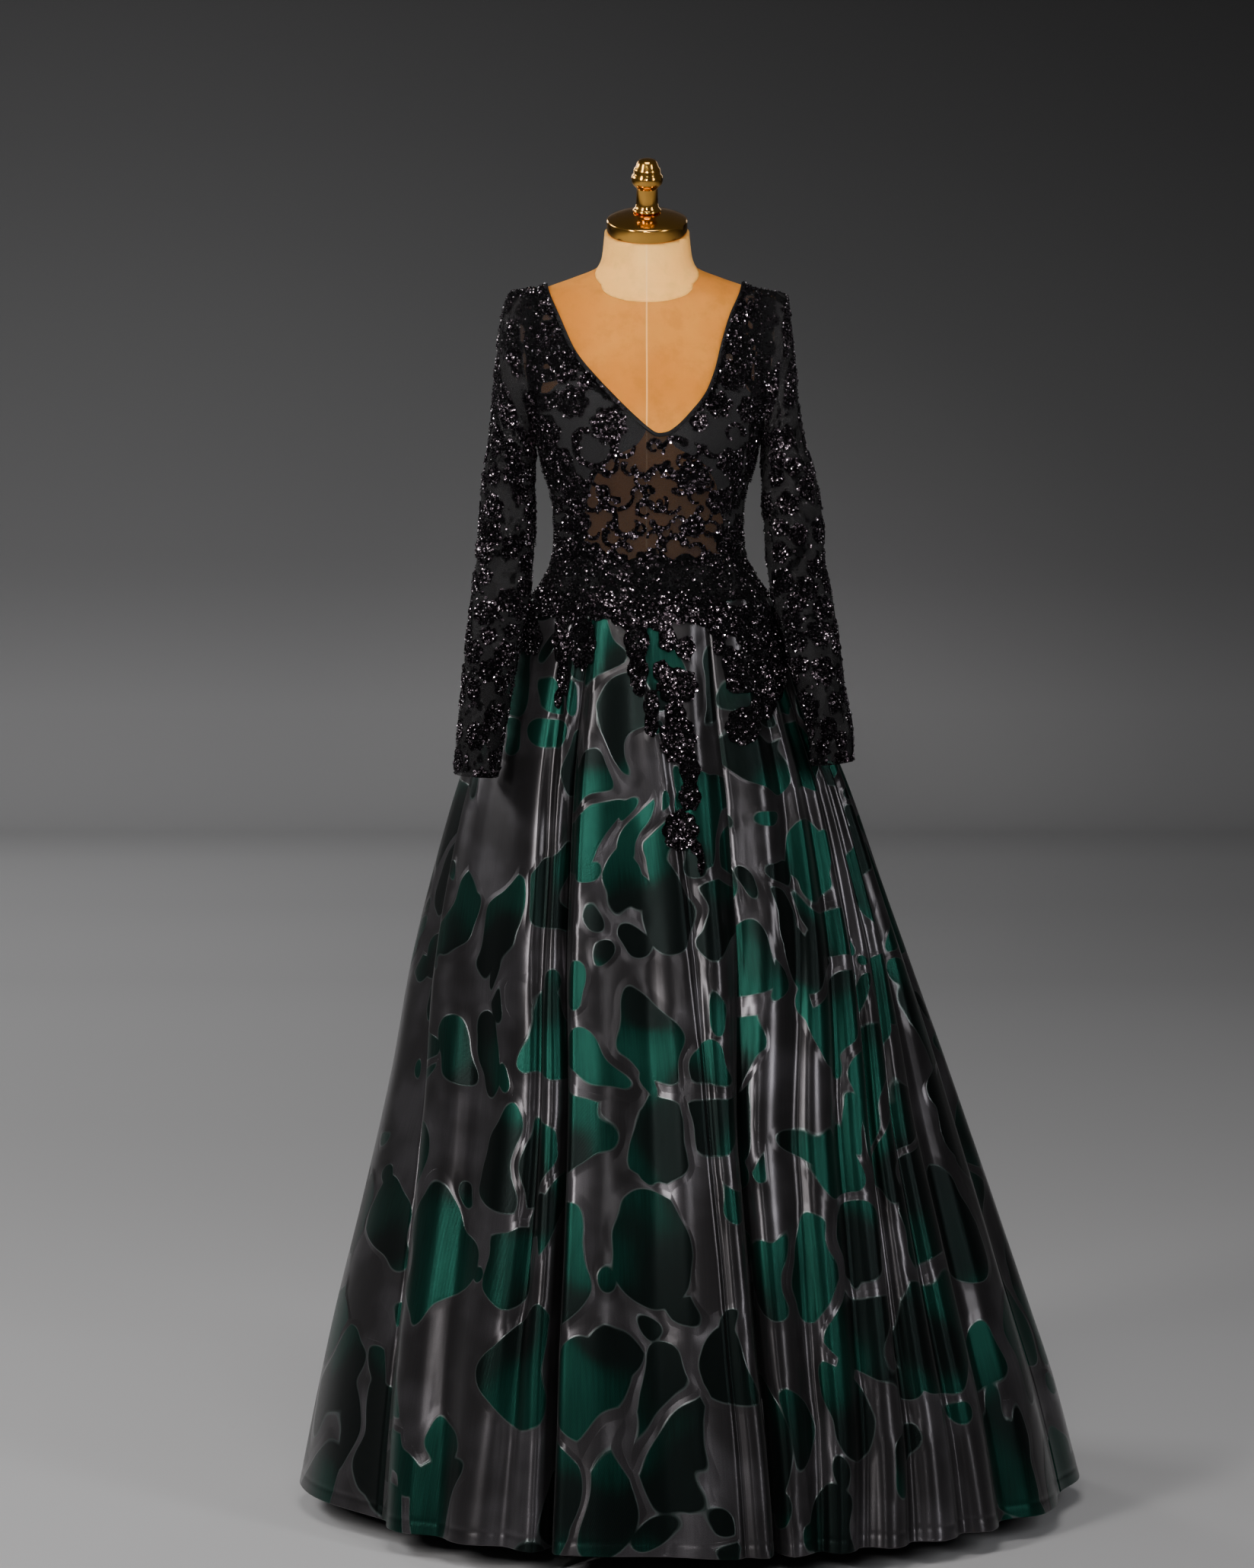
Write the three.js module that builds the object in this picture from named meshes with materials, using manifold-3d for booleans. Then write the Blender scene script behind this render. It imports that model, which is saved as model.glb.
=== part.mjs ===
// Evening gown on a dress form: floor length, with a net bodice, long empty net sleeves, lace
// at the hip and a pleated skirt, on a limbless padded form that stands on a round base.
// Millimetres, +Z up, the front faces -Y. The origin is the centre of the base's underside.
import * as THREE from "three";
import { mergeVertices } from "three/addons/utils/BufferGeometryUtils.js";
import Module from "manifold-3d";

const wasm = await Module();
wasm.setup();

// Reaches past the whole object, used by the cuts, and the overlap that joins two cuts
const FAR = 400;
const OVERHEAD = 1800;
const TOUCH = 0.001;

// Cloth walls, and the gaps between layers and along seams
const LINING_WALL = 1.0;
const NET_WALL = 1.0;
const BINDING_WALL = 1.0;
const SKIRT_WALL = 1.4;
const LACE_WALL = 1.2;
const FORM_TO_LINING = 0.6;
const LAYER_GAP = 0.4;
const SEAM_GAP = 0.3;

// Heights of the main lines of the gown and of the form
const HEM_Z = 30;
const WAIST_SEAM_Z = 1236;
const LACE_TOP_Z = 1228;
const LACE_BOTTOM_Z = 850;
const FORM_BOTTOM_Z = 940;
const STRAP_TOP_Z = 1609;
const ARMPIT_Z = 1395;
const FOLD_TOP_Z = 1130;

// The armholes are cut at this distance from the bodice's centre line
const BODICE_CENTRE_X = 2;
const ARMHOLE_X = 147;
const BINDING_WIDTH = 8;

// The stand, and the metal cap and finial, which lean forward together
const BASE_RADIUS = 215;
const BASE_HEIGHT = 20;
const POLE_RADIUS = 16;
const CAP_RADIUS = 52.5;
const CAP_BAND = 19;
const CAP_DOME = 10;
const FINIAL_HEIGHT = 70;
const CAP_LEAN = THREE.MathUtils.degToRad(19.5);
const CAP_SEAT = new THREE.Vector3(0, -2, 1670);

// Sections of the form, from its bottom edge up over the shoulders to the top of the neck
const BODY_COLUMNS = ["z", "centre", "half", "front", "back", "round"];
const BODY_ROWS = [
  [940, 2, 140, 88, 100, 2.2],
  [1000, 3, 158, 98, 116, 2.2],
  [1080, 4, 164, 102, 122, 2.2],
  [1150, 4, 154, 99, 117, 2.2],
  [1200, 4, 139, 95, 107, 2.2],
  [1236, 4, 126, 92, 97, 2.2],
  [1262, 3, 121.5, 90, 92, 2.2],
  [1290, 2, 120, 88, 89, 2.2],
  [1325, 2, 123, 92, 92, 2.2],
  [1368, 2, 136, 99, 98, 2.2],
  [1410, 2, 144, 100, 103, 2.2],
  [1450, 1.5, 153, 96, 105, 2.2],
  [1500, 1, 162, 88, 104, 2.2],
  [1540, 0.5, 166, 78, 99, 2.1],
  [1570, 0, 165, 67, 89, 2.0],
  [1585, 0, 158, 62, 82, 1.85],
  [1595, 0, 142, 58, 76, 1.65],
  [1603, 0, 121, 55, 71, 1.5],
  [1611, 0, 98, 53, 66, 1.5],
  [1626, 0, 64, 50, 58, 1.85],
  [1640, 0, 58.5, 49, 54, 2.0],
  [1700, 0, 53, 51, 48, 2.0],
];
const BODY_STEPS = 28;

// Two soft cups, one each side of the centre line, that push the front forward
const CUP = { x: 66, z: 1412, proud: 22, wide: 40, tall: 42 };

// Outer sections of the skirt, from the hem up to the seam under the hip lace
const SKIRT_ROWS = [
  [30, 57, 518, 460, 485, 2.0],
  [157, 53, 488, 430, 452, 2.0],
  [261, 47, 459, 405, 425, 2.0],
  [399, 41, 418, 368, 385, 2.0],
  [571, 31, 368, 315, 330, 2.0],
  [721, 18, 327, 268, 280, 2.0],
  [824, 12, 296, 235, 245, 2.0],
  [953, 8, 255, 195, 205, 2.0],
  [1040, 6, 220, 165, 178, 2.0],
  [1120, 6, 188, 137, 150, 2.05],
  [1160, 6, 173, 124, 136, 2.1],
  [1195, 6, 156, 112, 122, 2.15],
  [1218, 5, 139, 101, 109, 2.2],
  [1236, 4, 129, 95, 100, 2.2],
];
const SKIRT_LEVELS = [HEM_Z, 160, 330, 510, 690, 850, 985, 1085, 1150, 1192, LACE_TOP_Z];
const SKIRT_STEP = 46;

// Folds of the skirt, in order round it: where the crest lies at four heights, in degrees
// with 180 at the left side, 270 in front and 360 at the right, then where the valley lies
// between this crest and the next one, and how deep it is at the hip and at the hem
const FOLD_HEIGHTS = [HEM_Z, 500, 800, FOLD_TOP_Z];
const FOLD_COLUMNS = ["hem", "knee", "thigh", "hip", "valley", "hipDepth", "hemDepth"];
const FOLD_ROWS = [
  [187, 184, 181, 180, 0.78, 5, 26],
  [224, 215, 204.5, 195, 0.5, 5, 15],
  [236, 238.7, 238, 229, 0.55, 4, 14],
  [247, 245.8, 243.8, 238, 0.5, 7, 36],
  [250.8, 250.2, 250, 248, 0.6, 4, 14],
  [275.6, 275.2, 276, 269, 0.35, 4, 8],
  [280.2, 280, 283.3, 284, 0.42, 7, 38],
  [283.8, 286, 299, 309, 0.65, 6, 20],
  [290.8, 298, 311, 321, 0.55, 6, 20],
  [299, 308.5, 321, 330, 0.5, 5, 18],
  [307.5, 314.5, 328, 336, 0.55, 4, 16],
  [316.5, 321, 335.5, 342, 0.45, 6, 25],
  [331, 338, 347, 352, 0.5, 5, 20],
  [360, 360, 360, 360, 0.45, 5, 24],
  [378, 377, 376, 375, 0.55, 6, 26],
  [396, 397, 394, 392, 0.5, 5, 22],
  [412, 413, 412, 411, 0.45, 6, 30],
  [431, 430, 431, 430, 0.5, 6, 26],
  [450, 449, 450, 451, 0.55, 5, 24],
  [468, 469, 470, 471, 0.5, 6, 28],
  [487, 486, 488, 489, 0.5, 5, 22],
  [503, 504, 506, 508, 0.45, 6, 28],
  [521, 522, 524, 526, 0.5, 5, 24],
];

// The skirt's panels, each from the valley after one fold to the valley after another
const GORES = [
  ["skirt_front", 3, 6],
  ["skirt_side_front_right", 6, 12],
  ["skirt_side_back_right", 12, 15],
  ["skirt_back_right", 15, 17],
  ["skirt_back_left", 17, 19],
  ["skirt_side_back_left", 19, 23],
  ["skirt_side_front_left", 23, 26],
];

// Sleeves: each ring's outer and inner point as x, z, then its y and its half depth
const SLEEVE_COLUMNS = ["outerX", "outerZ", "innerX", "innerZ", "y", "depth"];
const SLEEVE_LEFT = [
  [-178, 1592, -146.5, 1402, 5, 53],
  [-190, 1556, -147, 1399, 5, 52],
  [-197, 1500, -147, 1396, 3, 51],
  [-203, 1440, -147, 1390, 1, 50],
  [-210, 1378, -146, 1378, -2, 47],
  [-216, 1339, -146, 1337, -4, 44],
  [-220, 1286, -146, 1284, -6, 42],
  [-225, 1240, -149, 1238, -12, 41],
  [-228, 1200, -153, 1196, -36, 40],
  [-232, 1163, -161, 1157, -64, 39],
  [-236, 1124, -168, 1118, -86, 38],
  [-242, 1048, -182, 1040, -112, 35],
  [-245, 1010, -187, 1004, -124, 33],
  [-247, 974, -191, 970, -132, 32],
];
const SLEEVE_RIGHT = [
  [182, 1588, 150.5, 1400, 5, 53],
  [188, 1545, 151, 1397, 5, 52],
  [195, 1480, 151, 1394, 3, 51],
  [204, 1415, 151, 1388, 1, 50],
  [215, 1373, 150, 1373, -3, 48],
  [223, 1342, 150, 1340, -5, 46],
  [231, 1286, 154, 1284, -7, 44],
  [234, 1240, 157, 1236, -14, 41],
  [243, 1191, 165, 1188, -38, 40],
  [247, 1156, 176, 1151, -62, 38],
  [250, 1119, 184, 1114, -82, 36],
  [259, 1060, 200, 1054, -102, 33],
  [263, 1026, 208, 1020, -112, 31],
  [264, 990, 211, 984, -118, 30],
];
const SLEEVE_STEPS = 16;
const ARMHOLE_EASE = 1.2;
const ARMHOLE_MIDDLE = { y: 6, z: 1503, deep: 54, tall: 92 };

// The neckline, in front from the left strap down to the point of the V and up to the
// right strap, and across the back, as x, z seen from the front
const NECK_FRONT = [
  [-134, 1625], [-128, 1597], [-113, 1561], [-92, 1516], [-64, 1482], [-36, 1453],
  [-12, 1430], [2, 1418], [14, 1411], [24, 1412], [36, 1419], [56, 1439], [75, 1463],
  [87, 1492], [95, 1524], [106, 1561], [121, 1597], [127, 1625],
];
const NECK_BACK = [
  [-134, 1625], [-128, 1597], [-102, 1567], [-62, 1549], [-20, 1542], [20, 1542],
  [60, 1549], [96, 1567], [121, 1597], [127, 1625],
];

// The V's point, where the lining's two halves part in front
const V_POINT_X = 14;

// The lining stops below this line, and leaves an open window at the centre front
const LINING_TOP = [
  [-FAR, 1452], [-128, 1462], [-88, 1500], [-40, 1470], [14, 1424], [66, 1470], [98, 1500],
  [134, 1462], [FAR, 1452],
];
const LINING_WINDOW = [
  [14, 1470], [-4, 1398], [-38, 1384], [-64, 1364], [-80, 1320], [-87, 1266], [-84, 1200],
  [100, 1200], [101, 1266], [98, 1320], [80, 1368], [52, 1384], [26, 1398],
];

// The seam of the form's neck piece, as y, z seen from the side
const NECK_SEAM = [[-130, 1522], [-64, 1578], [-34, 1606], [0, 1626], [34, 1636], [130, 1648]];

// Lobes of the lace over the skirt, from left to right, as x, z, half width and half height
const FRONT_LOBES = [
  [-160, 1158, 26, 28], [-124, 1116, 16, 60], [-84, 1146, 34, 38], [-16, 1136, 30, 50],
  [4, 1070, 21, 42], [48, 1110, 37, 52], [50, 1034, 31, 48], [55, 974, 21, 36],
  [48, 920, 29, 29], [68, 882, 15, 29], [112, 1112, 36, 54], [122, 1050, 26, 32],
  [150, 1080, 26, 42], [174, 1124, 24, 40],
];
const BACK_LOBES = [
  [-140, 1150, 27, 34], [-94, 1120, 31, 54], [-47, 1150, 27, 34], [0, 1120, 33, 58],
  [0, 1048, 24, 42], [47, 1150, 27, 34], [94, 1120, 31, 54], [140, 1150, 27, 34],
];
const LOBE_STEPS = 9;
const LACE_BAND_Z = 1168;
const LACE_REACH = 240;

const FINISHES = {
  velvet: { color: 0xc89664, roughness: 0.95, metalness: 0 },
  paleVelvet: { color: 0xdebe91, roughness: 0.95, metalness: 0 },
  gold: { color: 0xd9962e, roughness: 0.15, metalness: 1 },
  standMetal: { color: 0x2a2826, roughness: 0.45, metalness: 0.8 },
  net: { color: 0x141317, roughness: 0.8, metalness: 0 },
  lining: { color: 0x2c3036, roughness: 0.6, metalness: 0 },
  satin: { color: 0x19191c, roughness: 0.45, metalness: 0 },
  lace: { color: 0x17131a, roughness: 0.35, metalness: 0.1 },
  jacquard: { color: 0x2f4a40, roughness: 0.4, metalness: 0.2 },
};

const gown = new THREE.Group();

// A smooth curve through the points, which doesn't swing past them
function smoothCurve(xs, ys) {
  const last = xs.length - 1;
  const slopes = xs.slice(1).map((x, i) => (ys[i + 1] - ys[i]) / (x - xs[i]));
  const tangents = ys.map((y, i) => {
    if (i === 0) return slopes[0];
    if (i === last) return slopes[last - 1];
    const product = slopes[i - 1] * slopes[i];
    return product <= 0 ? 0 : (2 * product) / (slopes[i - 1] + slopes[i]);
  });
  return (x) => {
    const at = THREE.MathUtils.clamp(x, xs[0], xs[last]);
    let i = 0;
    while (i < last - 1 && at > xs[i + 1]) i += 1;
    const span = xs[i + 1] - xs[i];
    const t = (at - xs[i]) / span;
    const bend = t * t * (3 - 2 * t);
    const leave = t * (1 - t) * (1 - t) * span;
    const arrive = t * t * (t - 1) * span;
    return ys[i] + (ys[i + 1] - ys[i]) * bend + tangents[i] * leave + tangents[i + 1] * arrive;
  };
}

// Each named column of a table as a smooth curve by height
function curvesOf(names, rows) {
  const heights = rows.map((row) => row[0]);
  const curves = {};
  names.slice(1).forEach((name, k) => {
    curves[name] = smoothCurve(heights, rows.map((row) => row[k + 1]));
  });
  return curves;
}

function namedRows(names, rows) {
  return rows.map((row) => Object.fromEntries(names.map((name, k) => [name, row[k]])));
}

const body = curvesOf(BODY_COLUMNS, BODY_ROWS);
const skirt = curvesOf(BODY_COLUMNS, SKIRT_ROWS);

// A point of a rounded section: 0 at +X, a quarter turn at +Y, the back
function sectionPoint(curves, angle, z) {
  const cos = Math.cos(angle);
  const sin = Math.sin(angle);
  const power = 2 / curves.round(z);
  const depth = sin < 0 ? curves.front(z) : curves.back(z);
  const x = curves.centre(z) + curves.half(z) * Math.sign(cos) * Math.abs(cos) ** power;
  const y = depth * Math.sign(sin) * Math.abs(sin) ** power;
  return new THREE.Vector3(x, y, z);
}

function cupAt(x, z) {
  const up = ((z - CUP.z) / CUP.tall) ** 2;
  const cups = [-CUP.x, CUP.x].map((side) => {
    const across = ((x - BODICE_CENTRE_X - side) / CUP.wide) ** 2;
    return Math.exp(-(across + up) / 2);
  });
  return CUP.proud * (cups[0] + cups[1]);
}

function bodyPoint(angle, z) {
  const point = sectionPoint(body, angle, z);
  const facing = Math.max(0, -Math.sin(angle));
  point.y -= cupAt(point.x, z) * facing;
  return point;
}

const foldAngles = namedRows(FOLD_COLUMNS, FOLD_ROWS).map((fold) => ({
  ...fold,
  crest: smoothCurve(FOLD_HEIGHTS, [fold.hem, fold.knee, fold.thigh, fold.hip]),
}));

function foldOf(index) {
  const turns = Math.floor(index / foldAngles.length);
  return { fold: foldAngles[index - turns * foldAngles.length], turns };
}

function crestAngle(index, z) {
  const { fold, turns } = foldOf(index);
  return fold.crest(z) + 360 * turns;
}

// A point of the skirt. The whole part of place is the fold's number, and the rest runs from
// its crest at 0 through its valley at a half to the next crest.
function skirtPoint(place, z) {
  const index = Math.floor(place);
  const along = place - index;
  const { fold } = foldOf(index);
  const crest = crestAngle(index, z);
  const next = crestAngle(index + 1, z);
  const share = along < 0.5 ? 2 * along * fold.valley
    : fold.valley + (2 * along - 1) * (1 - fold.valley);
  const angle = THREE.MathUtils.degToRad(crest + (next - crest) * share);
  const drop = THREE.MathUtils.clamp((FOLD_TOP_Z - z) / (FOLD_TOP_Z - HEM_Z), 0, 1) ** 0.8;
  const start = THREE.MathUtils.smoothstep(WAIST_SEAM_Z - z, 0, WAIST_SEAM_Z - FOLD_TOP_Z);
  const depth = (fold.hipDepth + (fold.hemDepth - fold.hipDepth) * drop) * start;
  const point = sectionPoint(skirt, angle, z);
  const reach = Math.sin(angle) < 0 ? skirt.front(z) : skirt.back(z);
  const inward = new THREE.Vector3(-Math.cos(angle) / skirt.half(z), -Math.sin(angle) / reach, 0);
  const sink = depth * (1 - Math.cos(2 * Math.PI * along)) / 2;
  return point.addScaledVector(inward.normalize(), sink);
}

// The directions along and out of a surface that is given by a place round it and a height
function directionsAt(surface, place, z) {
  const turn = 0.002;
  const rise = 0.5;
  const along = surface(place + turn, z).sub(surface(place - turn, z));
  const up = surface(place, z + rise).sub(surface(place, z - rise));
  const out = along.clone().cross(up).normalize();
  return { along: along.normalize(), out };
}

function gridOf(surface, places, levels, offset) {
  return levels.map((z) => places.map((place) => {
    const { out } = directionsAt(surface, place, z);
    return surface(place, z).addScaledVector(out, offset);
  }));
}

// One closed body, turned so that its faces point out
function closedBody(points, triangles) {
  let volume = 0;
  triangles.forEach(([a, b, c]) => {
    volume += points[a].dot(points[b].clone().cross(points[c]));
  });
  const facing = volume < 0 ? triangles.map(([a, b, c]) => [a, c, b]) : triangles;
  const geometry = new THREE.BufferGeometry().setFromPoints(points);
  geometry.setIndex(facing.flat());
  geometry.computeVertexNormals();
  return geometry;
}

// The wall between an outer and an inner grid of points
function wallBetween(outer, inner, wrapped) {
  const rows = outer.length;
  const columns = outer[0].length;
  const triangles = [];
  const quad = (a, b, c, d) => triangles.push([a, b, c], [a, c, d]);
  const at = (layer, i, j) => (layer * rows + i) * columns + (j % columns);
  const top = rows - 1;
  const end = wrapped ? columns : columns - 1;
  for (let j = 0; j < end; j += 1) {
    for (let i = 0; i < top; i += 1) {
      quad(at(0, i, j), at(0, i, j + 1), at(0, i + 1, j + 1), at(0, i + 1, j));
      quad(at(1, i, j), at(1, i + 1, j), at(1, i + 1, j + 1), at(1, i, j + 1));
    }
    quad(at(0, 0, j), at(1, 0, j), at(1, 0, j + 1), at(0, 0, j + 1));
    quad(at(0, top, j), at(0, top, j + 1), at(1, top, j + 1), at(1, top, j));
  }
  for (let i = 0; i < top && !wrapped; i += 1) {
    quad(at(0, i, 0), at(0, i + 1, 0), at(1, i + 1, 0), at(1, i, 0));
    quad(at(0, i, end), at(1, i, end), at(1, i + 1, end), at(0, i + 1, end));
  }
  return closedBody([...outer.flat(), ...inner.flat()], triangles);
}

// The solid inside a stack of closed rings
function loftBetween(rings) {
  const columns = rings[0].length;
  const points = rings.flat();
  const bottom = points.length;
  const top = bottom + 1;
  const middle = (ring) => {
    const sum = ring.reduce((total, point) => total.add(point), new THREE.Vector3());
    return sum.divideScalar(ring.length);
  };
  points.push(middle(rings[0]), middle(rings[rings.length - 1]));
  const triangles = [];
  const at = (i, j) => i * columns + (j % columns);
  for (let j = 0; j < columns; j += 1) {
    for (let i = 0; i < rings.length - 1; i += 1) {
      triangles.push([at(i, j), at(i, j + 1), at(i + 1, j + 1)]);
      triangles.push([at(i, j), at(i + 1, j + 1), at(i + 1, j)]);
    }
    triangles.push([bottom, at(0, j + 1), at(0, j)]);
    triangles.push([top, at(rings.length - 1, j), at(rings.length - 1, j + 1)]);
  }
  return closedBody(points, triangles);
}

function solidOf(geometry) {
  const bare = geometry.clone();
  bare.deleteAttribute("normal");
  bare.deleteAttribute("uv");
  const merged = mergeVertices(bare, 1e-4);
  return new wasm.Manifold(new wasm.Mesh({
    numProp: 3,
    vertProperties: new Float32Array(merged.attributes.position.array),
    triVerts: new Uint32Array(merged.index.array),
  }));
}

function geometryOf(solid) {
  const mesh = solid.getMesh();
  const geometry = new THREE.BufferGeometry();
  geometry.setAttribute("position", new THREE.BufferAttribute(mesh.vertProperties, 3));
  geometry.setIndex(new THREE.BufferAttribute(mesh.triVerts, 1));
  geometry.computeVertexNormals();
  return geometry;
}

// A plate whose outline is given as x, z and which runs along Y
function plateAcross(outline, yLow, yHigh) {
  const shape = new THREE.Shape(outline.map(([x, z]) => new THREE.Vector2(x, z)));
  const plate = new THREE.ExtrudeGeometry(shape, { depth: yHigh - yLow, bevelEnabled: false });
  const turn = new THREE.Matrix4().makeBasis(
    new THREE.Vector3(1, 0, 0), new THREE.Vector3(0, 0, 1), new THREE.Vector3(0, -1, 0));
  return solidOf(plate.applyMatrix4(turn.setPosition(0, yHigh, 0)));
}

// A plate whose outline is given as y, z and which runs along X
function plateAlong(outline, xLow, xHigh) {
  const shape = new THREE.Shape(outline.map(([y, z]) => new THREE.Vector2(y, z)));
  const plate = new THREE.ExtrudeGeometry(shape, { depth: xHigh - xLow, bevelEnabled: false });
  const turn = new THREE.Matrix4().makeBasis(
    new THREE.Vector3(0, 1, 0), new THREE.Vector3(0, 0, 1), new THREE.Vector3(1, 0, 0));
  return solidOf(plate.applyMatrix4(turn.setPosition(xLow, 0, 0)));
}

// Closes a line above the object, for a cut that takes all that is over it
function upTo(line) {
  return [...line, [line[line.length - 1][0], OVERHEAD], [line[0][0], OVERHEAD]];
}

function block(xLow, xHigh, yLow, yHigh, zLow, zHigh) {
  const box = new THREE.BoxGeometry(xHigh - xLow, yHigh - yLow, zHigh - zLow);
  box.translate((xLow + xHigh) / 2, (yLow + yHigh) / 2, (zLow + zHigh) / 2);
  return solidOf(box);
}

// The band of lace along the seam, with its lobes, as one plate through the front or the back
function laceOutline(lobes, yLow, yHigh) {
  const band = block(-LACE_REACH, LACE_REACH, yLow, yHigh, LACE_BAND_Z, WAIST_SEAM_Z);
  return lobes.reduce((outline, [x, z, wide, tall]) => {
    const points = Array.from({ length: LOBE_STEPS }, (_, k) => {
      const angle = (2 * Math.PI * k) / LOBE_STEPS - Math.PI / 2;
      return [x + wide * Math.cos(angle), z + tall * Math.sin(angle)];
    });
    return outline.add(plateAcross(points, yLow, yHigh));
  }, band);
}

// An outline moved out by a distance, for an open line of points that runs left to right
function movedDown(line, distance) {
  return line.map(([x, z], i) => {
    const before = line[Math.max(i - 1, 0)];
    const after = line[Math.min(i + 1, line.length - 1)];
    const [dx, dz] = [after[0] - before[0], after[1] - before[1]];
    const length = Math.hypot(dx, dz);
    return [x + (dz / length) * distance, z - (dx / length) * distance];
  });
}

function add(name, geometry, finish) {
  const mesh = new THREE.Mesh(geometry, new THREE.MeshStandardMaterial(FINISHES[finish]));
  mesh.name = name;
  gown.add(mesh);
}

// The form: torso, neck piece, cap, finial, pole and base
const bodyAngles = Array.from({ length: BODY_STEPS }, (_, k) => (2 * Math.PI * k) / BODY_STEPS);
const bodyLevels = BODY_ROWS.map((row) => row[0]);
const capAxis = new THREE.Vector3(0, -Math.sin(CAP_LEAN), Math.cos(CAP_LEAN));

function capSpace(geometry, height) {
  const turn = new THREE.Quaternion().setFromUnitVectors(new THREE.Vector3(0, 1, 0), capAxis);
  const seat = CAP_SEAT.clone().addScaledVector(capAxis, height);
  geometry.applyQuaternion(turn);
  return geometry.translate(seat.x, seat.y, seat.z);
}

function turned(profile, steps) {
  return new THREE.LatheGeometry(profile.map(([r, h]) => new THREE.Vector2(r, h)), steps);
}

function makeForm() {
  const whole = solidOf(loftBetween(gridOf(bodyPoint, bodyAngles, bodyLevels, 0)));
  const above = (gap) => plateAlong(upTo(NECK_SEAM.map(([y, z]) => [y, z + gap])), -FAR, FAR);
  add("form_torso", geometryOf(whole.subtract(above(-SEAM_GAP / 2))), "velvet");
  const slope = Math.tan(CAP_LEAN);
  const capLine = (y) => CAP_SEAT.z + (y - CAP_SEAT.y) * slope - SEAM_GAP;
  const belowCap = plateAlong([
    [-FAR, 0], [FAR, 0], [FAR, capLine(FAR)], [-FAR, capLine(-FAR)],
  ], -FAR, FAR);
  const neck = whole.intersect(above(SEAM_GAP / 2)).intersect(belowCap);
  add("form_neck", geometryOf(neck), "paleVelvet");
}

function makeCap() {
  const topRadius = CAP_RADIUS - 2;
  const profile = [[0, 0], [CAP_RADIUS - 1.5, 0], [CAP_RADIUS, 1.5], [CAP_RADIUS, CAP_BAND - 2]];
  for (let k = 0; k <= 4; k += 1) {
    const share = k / 4;
    profile.push([topRadius * (1 - share), CAP_BAND + CAP_DOME * (1 - (1 - share) ** 2)]);
  }
  const cap = turned(profile, 28);
  add("neck_cap", capSpace(cap, 0), "gold");
  const finial = turned([
    [0, 0], [18.3, 0], [18.3, 2.5], [14.4, 7], [14, 30], [19, 36], [20.5, 40], [20.5, 46],
    [17.6, 50], [17.6, 56], [15, 59], [12, 67], [0, FINIAL_HEIGHT],
  ], 20);
  add("finial", capSpace(finial, CAP_BAND + CAP_DOME + SEAM_GAP), "gold");
}

function makeStand() {
  const base = turned([
    [0, 0], [BASE_RADIUS - 2, 0], [BASE_RADIUS, 2], [BASE_RADIUS, 7], [BASE_RADIUS - 4, 10],
    [120, 15], [32, BASE_HEIGHT], [0, BASE_HEIGHT],
  ], 32);
  add("stand_base", base.rotateX(Math.PI / 2), "standMetal");
  const length = FORM_BOTTOM_Z - BASE_HEIGHT - 2 * SEAM_GAP;
  const pole = new THREE.CylinderGeometry(POLE_RADIUS, POLE_RADIUS, length, 20);
  pole.rotateX(Math.PI / 2).translate(0, 0, BASE_HEIGHT + SEAM_GAP + length / 2);
  add("stand_pole", pole, "standMetal");
}

// Layers over the form, each given by how far its two faces lie from it
const LINING = { inner: FORM_TO_LINING, outer: FORM_TO_LINING + LINING_WALL };
const NET = { inner: LINING.outer + LAYER_GAP, outer: LINING.outer + LAYER_GAP + NET_WALL };
const BINDING = { inner: NET.outer + LAYER_GAP, outer: NET.outer + LAYER_GAP + BINDING_WALL };

function bodyShell(layer) {
  const low = WAIST_SEAM_Z + SEAM_GAP / 2;
  const between = bodyLevels.filter((z) => z > low + 2 && z < STRAP_TOP_Z);
  const levels = [low, ...between, STRAP_TOP_Z];
  const outer = gridOf(bodyPoint, bodyAngles, levels, layer.outer);
  const inner = gridOf(bodyPoint, bodyAngles, levels, layer.inner);
  return solidOf(wallBetween(outer, inner, true));
}

const betweenArmholes = (trim) => block(
  BODICE_CENTRE_X - ARMHOLE_X + trim, BODICE_CENTRE_X + ARMHOLE_X - trim,
  -FAR, FAR, ARMPIT_Z, OVERHEAD,
).add(block(-FAR, FAR, -FAR, FAR, 0, ARMPIT_Z + TOUCH));
const neckFrontCut = plateAcross(upTo(NECK_FRONT), -FAR, 0);
const neckBackCut = plateAcross(upTo(NECK_BACK), 0, FAR);
const frontHalf = block(-FAR, FAR, -FAR, -SEAM_GAP / 2, 0, OVERHEAD);
const backLeft = block(-FAR, -SEAM_GAP / 2, SEAM_GAP / 2, FAR, 0, OVERHEAD);
const backRight = block(SEAM_GAP / 2, FAR, SEAM_GAP / 2, FAR, 0, OVERHEAD);

function makeBodice() {
  const shell = bodyShell(NET).intersect(betweenArmholes(0));
  const open = shell.subtract(neckFrontCut).subtract(neckBackCut);
  add("bodice_front", geometryOf(open.intersect(frontHalf)), "net");
  add("bodice_back_left", geometryOf(open.intersect(backLeft)), "net");
  add("bodice_back_right", geometryOf(open.intersect(backRight)), "net");
}

function makeLining() {
  const below = plateAcross([...LINING_TOP, [FAR, 0], [-FAR, 0]], -FAR, FAR);
  const window = plateAcross(LINING_WINDOW, -FAR, 0);
  const shell = bodyShell(LINING).intersect(betweenArmholes(0.5)).intersect(below);
  const lining = shell.subtract(window).subtract(neckFrontCut);
  const seam = block(-SEAM_GAP / 2, SEAM_GAP / 2, 0, FAR, 0, OVERHEAD);
  const right = block(0, FAR, 0, FAR, 0, OVERHEAD)
    .add(block(V_POINT_X, FAR, -FAR, TOUCH, 0, OVERHEAD));
  const halves = lining.subtract(seam);
  add("lining_left", geometryOf(halves.subtract(right)), "lining");
  add("lining_right", geometryOf(halves.intersect(right)), "lining");
}

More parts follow.
